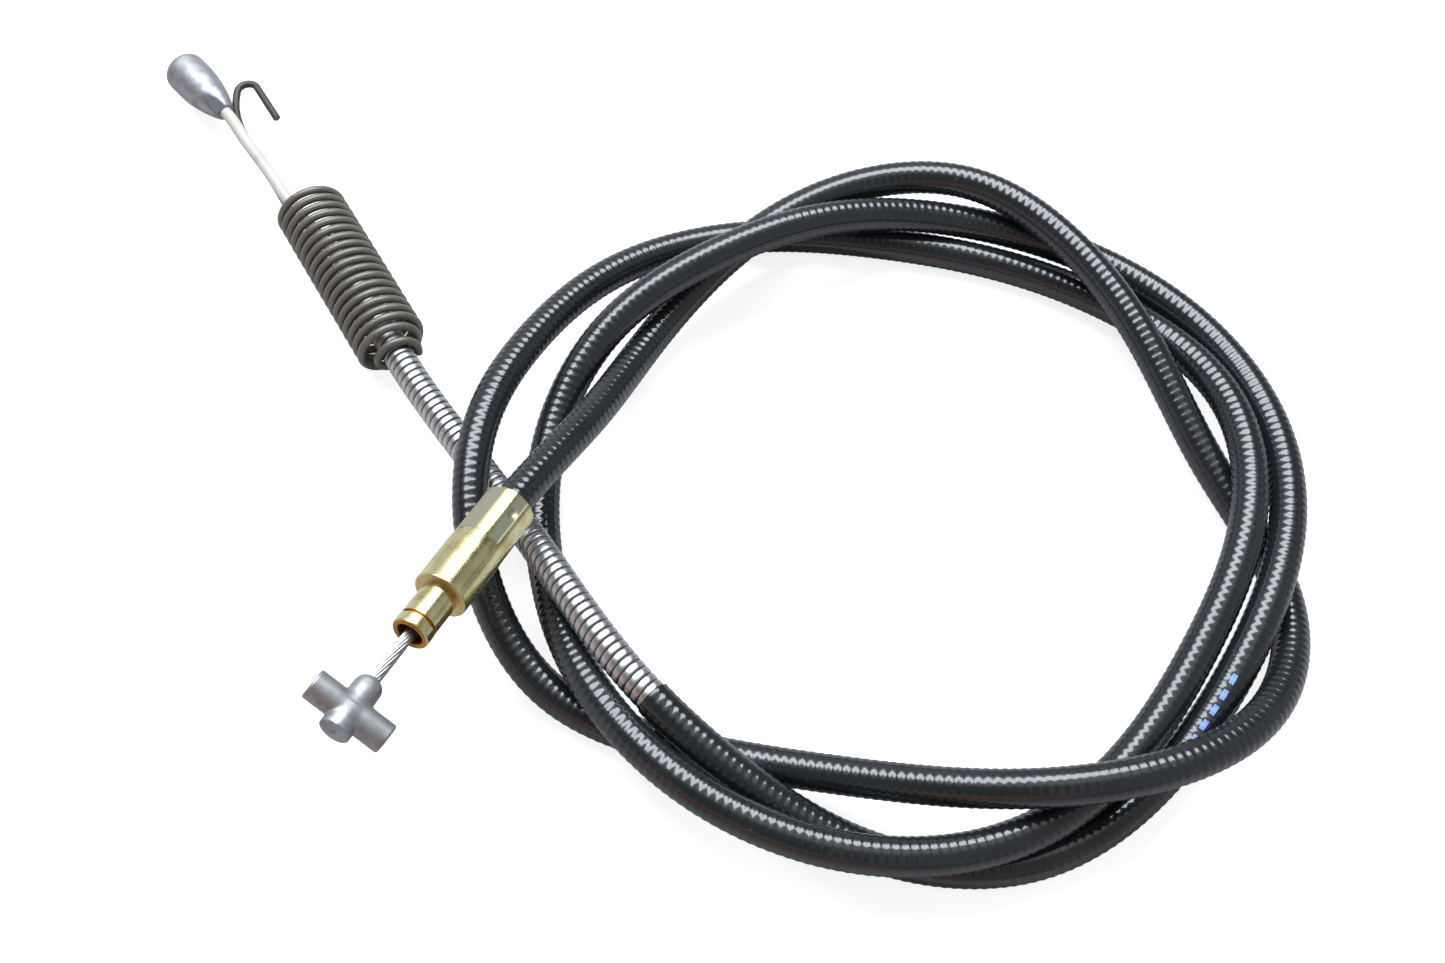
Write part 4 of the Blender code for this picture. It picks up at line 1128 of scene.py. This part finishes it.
class CABLE_OT_wires(bpy.types.Operator):
    """The bare stranded wire, the nylon coated wire and the hidden run between them."""
    bl_idname = "clutch_cable.wires"
    bl_label = "Wires"
    OUTER_WIRES = 12
    OUTER_WIRE_SHARE = 0.105
    LOBE_STEPS = 8
    LAY_STEP = 0.3 * MM
    FRONT_TAIL = 2.0 * MM
    SPRING_TAIL = 3.3 * MM
    SIDES = 28
    COATING_STEP = 0.8 * MM
    CURVE_SAMPLES = 300
    TAIL_STEP = 1.0 * MM
    CENTRES = 120

    def execute(self, context):
        colours = context.scene.finish_colours
        strand = drawn_steel("galvanised_strand", colours.strand, colours.conduit_gap)
        self.add_bare_wire(context.scene, strand)
        self.add_coated_wire(context.scene)
        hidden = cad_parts["inner_wire"]
        hidden.data.materials.clear()
        hidden.data.materials.append(strand)
        return {"FINISHED"}

    def add_bare_wire(self, scene, material):
        """Twelve wires laid round a core: the outline is the far side of twelve turning circles."""
        sizes, nipple, ferrule = scene.cable_sizes, scene.nipple_sizes, scene.ferrule_sizes
        mouth = ferrule.sleeve_length + ferrule.neck_length
        start = self.FRONT_TAIL + nipple.exposed_wire
        end = mouth + nipple.exposed_wire + nipple.rear_boss_reach
        corners = round_angles(self.OUTER_WIRES * self.LOBE_STEPS)
        at, angle = np.meshgrid(np.arange(start, end, self.LAY_STEP), corners, indexing="ij")
        small = self.OUTER_WIRE_SHARE * sizes.wire_diameter
        ring = sizes.wire_diameter / 2 - small
        share = 2 * math.pi / self.OUTER_WIRES
        lobe = (angle - 2 * math.pi * at / sizes.wire_lay) % share - share / 2
        radius = ring * np.cos(lobe) + np.sqrt(small ** 2 - (ring * np.sin(lobe)) ** 2)
        grid = np.stack((radius * np.cos(angle), radius * np.sin(angle), at), axis=-1)
        depth = (ring + small - radius) / small
        mesh = grid_mesh("bare_stranded_wire", put(grid, ferrule_frame()), marks={"depth": depth})
        add_piece(mesh, material, "tee_end", ["bare_wire_end"], sharp=75.0)

    def add_coated_wire(self, scene):
        """A round coating along the wire's line, from inside the conduit to the nipple."""
        sizes, nipple = scene.cable_sizes, scene.nipple_sizes
        spring, bullet = spring_frame(), bullet_frame()
        foot, ahead = spring[:3, 3], spring[:3, 2]
        tail = foot + ahead * self.SPRING_TAIL
        bend_start = foot + ahead * (sizes.depth_in_spring + sizes.coated_diameter)
        bends = [layout_point(*point, coil_height()) for point in TAIL_ROUTE]
        neck, aim = bullet[:3, 3], bullet[:3, 2]
        curve = smooth_curve([bend_start, *bends, neck], ahead, aim, self.CURVE_SAMPLES)
        into = straight(neck, neck + aim * nipple.bullet_grip, self.TAIL_STEP)
        line = np.vstack((straight(tail, bend_start, self.TAIL_STEP), curve, into[1:]))
        total = arc_lengths(line)[-1]
        at = level_rows(np.arange(0.0, total, self.COATING_STEP), self.SIDES)
        radius = np.full(at.shape, sizes.coated_diameter / 2)
        grid = round_surface(line, at, radius, round_angles(self.SIDES))
        mesh = grid_mesh("coated_wire", grid)
        piece = add_piece(mesh, natural_nylon(), "bullet_end", ["coated_wire_end"])


class CABLE_OT_return_spring(bpy.types.Operator):
    """The return spring, from its grip on the conduit to the end of its hook."""
    bl_idname = "clutch_cable.return_spring"
    bl_label = "Return spring"
    TURNS = 18.6
    STEPS_PER_TURN = 40
    TURN_IN_STEPS = 24
    START = -20.0
    CLOSED_TURNS = 0.7
    OPENING_TURNS = 0.8
    LEAN_TURN = 32.0
    BEND_TURN = 147.0
    HOOK_AIM = 0.0
    STEP = 0.4 * MM
    SIDES = 16

    def execute(self, context):
        sizes = context.scene.spring_sizes
        coil = self.coil(sizes, context.scene.cable_sizes)
        hook = self.hook(sizes, context.scene.cable_sizes, coil[-1][2])
        turn_in = smooth_curve([coil[-1], hook[0]], unit(coil[-1] - coil[-2]), unit(hook[1] - hook[0]),
                               self.TURN_IN_STEPS)[1:-1]
        where = spring_frame()
        line = put(np.vstack((coil, turn_in, hook)), where)
        # 0 on the coil and 1 on the hook
        weight = np.concatenate((np.zeros(len(coil)), np.linspace(0, 1, len(turn_in)), np.ones(len(hook))))
        guide = where[:3, 2] * (1 - weight)[:, None] + UP * weight[:, None]
        forward = unit(np.gradient(line, arc_lengths(line), axis=0))
        left = unit(np.cross(guide, forward))
        up = np.cross(forward, left)
        angle = round_angles(self.SIDES)[None, :, None]
        grid = line[:, None] + sizes.wire / 2 * (left[:, None] * np.cos(angle) + up[:, None] * np.sin(angle))
        # Painted shade: the hook's share of the darker hook colour
        hooked = np.repeat(weight[:, None], self.SIDES, axis=1)
        mesh = grid_mesh("hooked_return_spring", grid, marks={"hooked": hooked})
        add_piece(mesh, oiled_steel(), "sheath", ["return_spring"])
        return {"FINISHED"}

    def coil(self, sizes, cable):
        """The coil about Z: it grips the conduit, then its radius rises smoothly until it is full."""
        turn = np.linspace(0.0, self.TURNS, round(self.TURNS * self.STEPS_PER_TURN) + 1)
        full = (sizes.coil_diameter - sizes.wire) / 2
        closed = (cable.conduit_diameter + sizes.wire) / 2 + CLEARANCE
        opened = self.CLOSED_TURNS + self.OPENING_TURNS
        radius = closed + (full - closed) * smooth_step(self.CLOSED_TURNS, opened, turn)
        angle = math.radians(self.START) + 2 * math.pi * turn
        height = sizes.wire / 2 + sizes.pitch * turn
        return np.stack((-radius * np.cos(angle), radius * np.sin(angle), height), axis=-1)

    def hook(self, sizes, cable, top):
        """The hook in a level plane under the wire: its heading turns by a set angle a stretch."""
        bend = sizes.bend_radius * math.radians(self.BEND_TURN)
        stretches = (
            (sizes.shank, 0.0),
            (sizes.lean, self.LEAN_TURN),
            (bend, self.BEND_TURN),
            (sizes.leg, 0.0),
        )
        counts = [round(reach / self.STEP) for reach, _ in stretches]
        turns = np.concatenate([np.full(n, turn / n) for n, (_, turn) in zip(counts, stretches)])
        course = np.radians(np.cumsum(turns) - turns / 2 - self.HOOK_AIM)
        # X of the spring's frame points to the left, so a turn to the right goes towards -X
        moves = np.stack((-np.sin(course), np.zeros(len(course)), np.cos(course)), axis=-1) * self.STEP
        below = -(cable.coated_diameter + sizes.wire) / 2 - CLEARANCE
        start = np.array((sizes.offset, below, top + sizes.pitch))
        return np.vstack((start, start + np.cumsum(moves, axis=0)))


class CABLE_PT_panel(bpy.types.Panel):
    """Lists the steps that make the cable."""
    bl_idname = "CABLE_PT_panel"
    bl_label = "Clutch cable"
    bl_space_type = "VIEW_3D"
    bl_region_type = "UI"
    bl_category = "Clutch cable"

    def draw(self, context):
        for step in STEPS:
            self.layout.operator(step.bl_idname)
        for group in GROUPS:
            box = self.layout.box()
            for name in GROUPS[group].__annotations__:
                box.prop(getattr(context.scene, group), name)


GROUPS = {
    "cable_sizes": CableSizes,
    "ferrule_sizes": FerruleSizes,
    "nipple_sizes": NippleSizes,
    "spring_sizes": SpringSizes,
    "finish_colours": FinishColours,
}
STEPS = (CABLE_OT_stage, CABLE_OT_jacket, CABLE_OT_conduit, CABLE_OT_ferrule, CABLE_OT_tee_nipple,
         CABLE_OT_bullet_nipple, CABLE_OT_wires, CABLE_OT_return_spring)


def register():
    for made in (*GROUPS.values(), *STEPS, CABLE_PT_panel):
        bpy.utils.register_class(made)
    for name, group in GROUPS.items():
        setattr(bpy.types.Scene, name, bpy.props.PointerProperty(type=group))


def unregister():
    for name in GROUPS:
        delattr(bpy.types.Scene, name)
    for made in reversed((*GROUPS.values(), *STEPS, CABLE_PT_panel)):
        bpy.utils.unregister_class(made)


def main():
    register()
    bpy.ops.clutch_cable.stage()
    bpy.ops.clutch_cable.jacket()
    bpy.ops.clutch_cable.conduit()
    bpy.ops.clutch_cable.ferrule()
    bpy.ops.clutch_cable.tee_nipple()
    bpy.ops.clutch_cable.bullet_nipple()
    bpy.ops.clutch_cable.wires()
    bpy.ops.clutch_cable.return_spring()


if __name__ == "__main__":
    main()
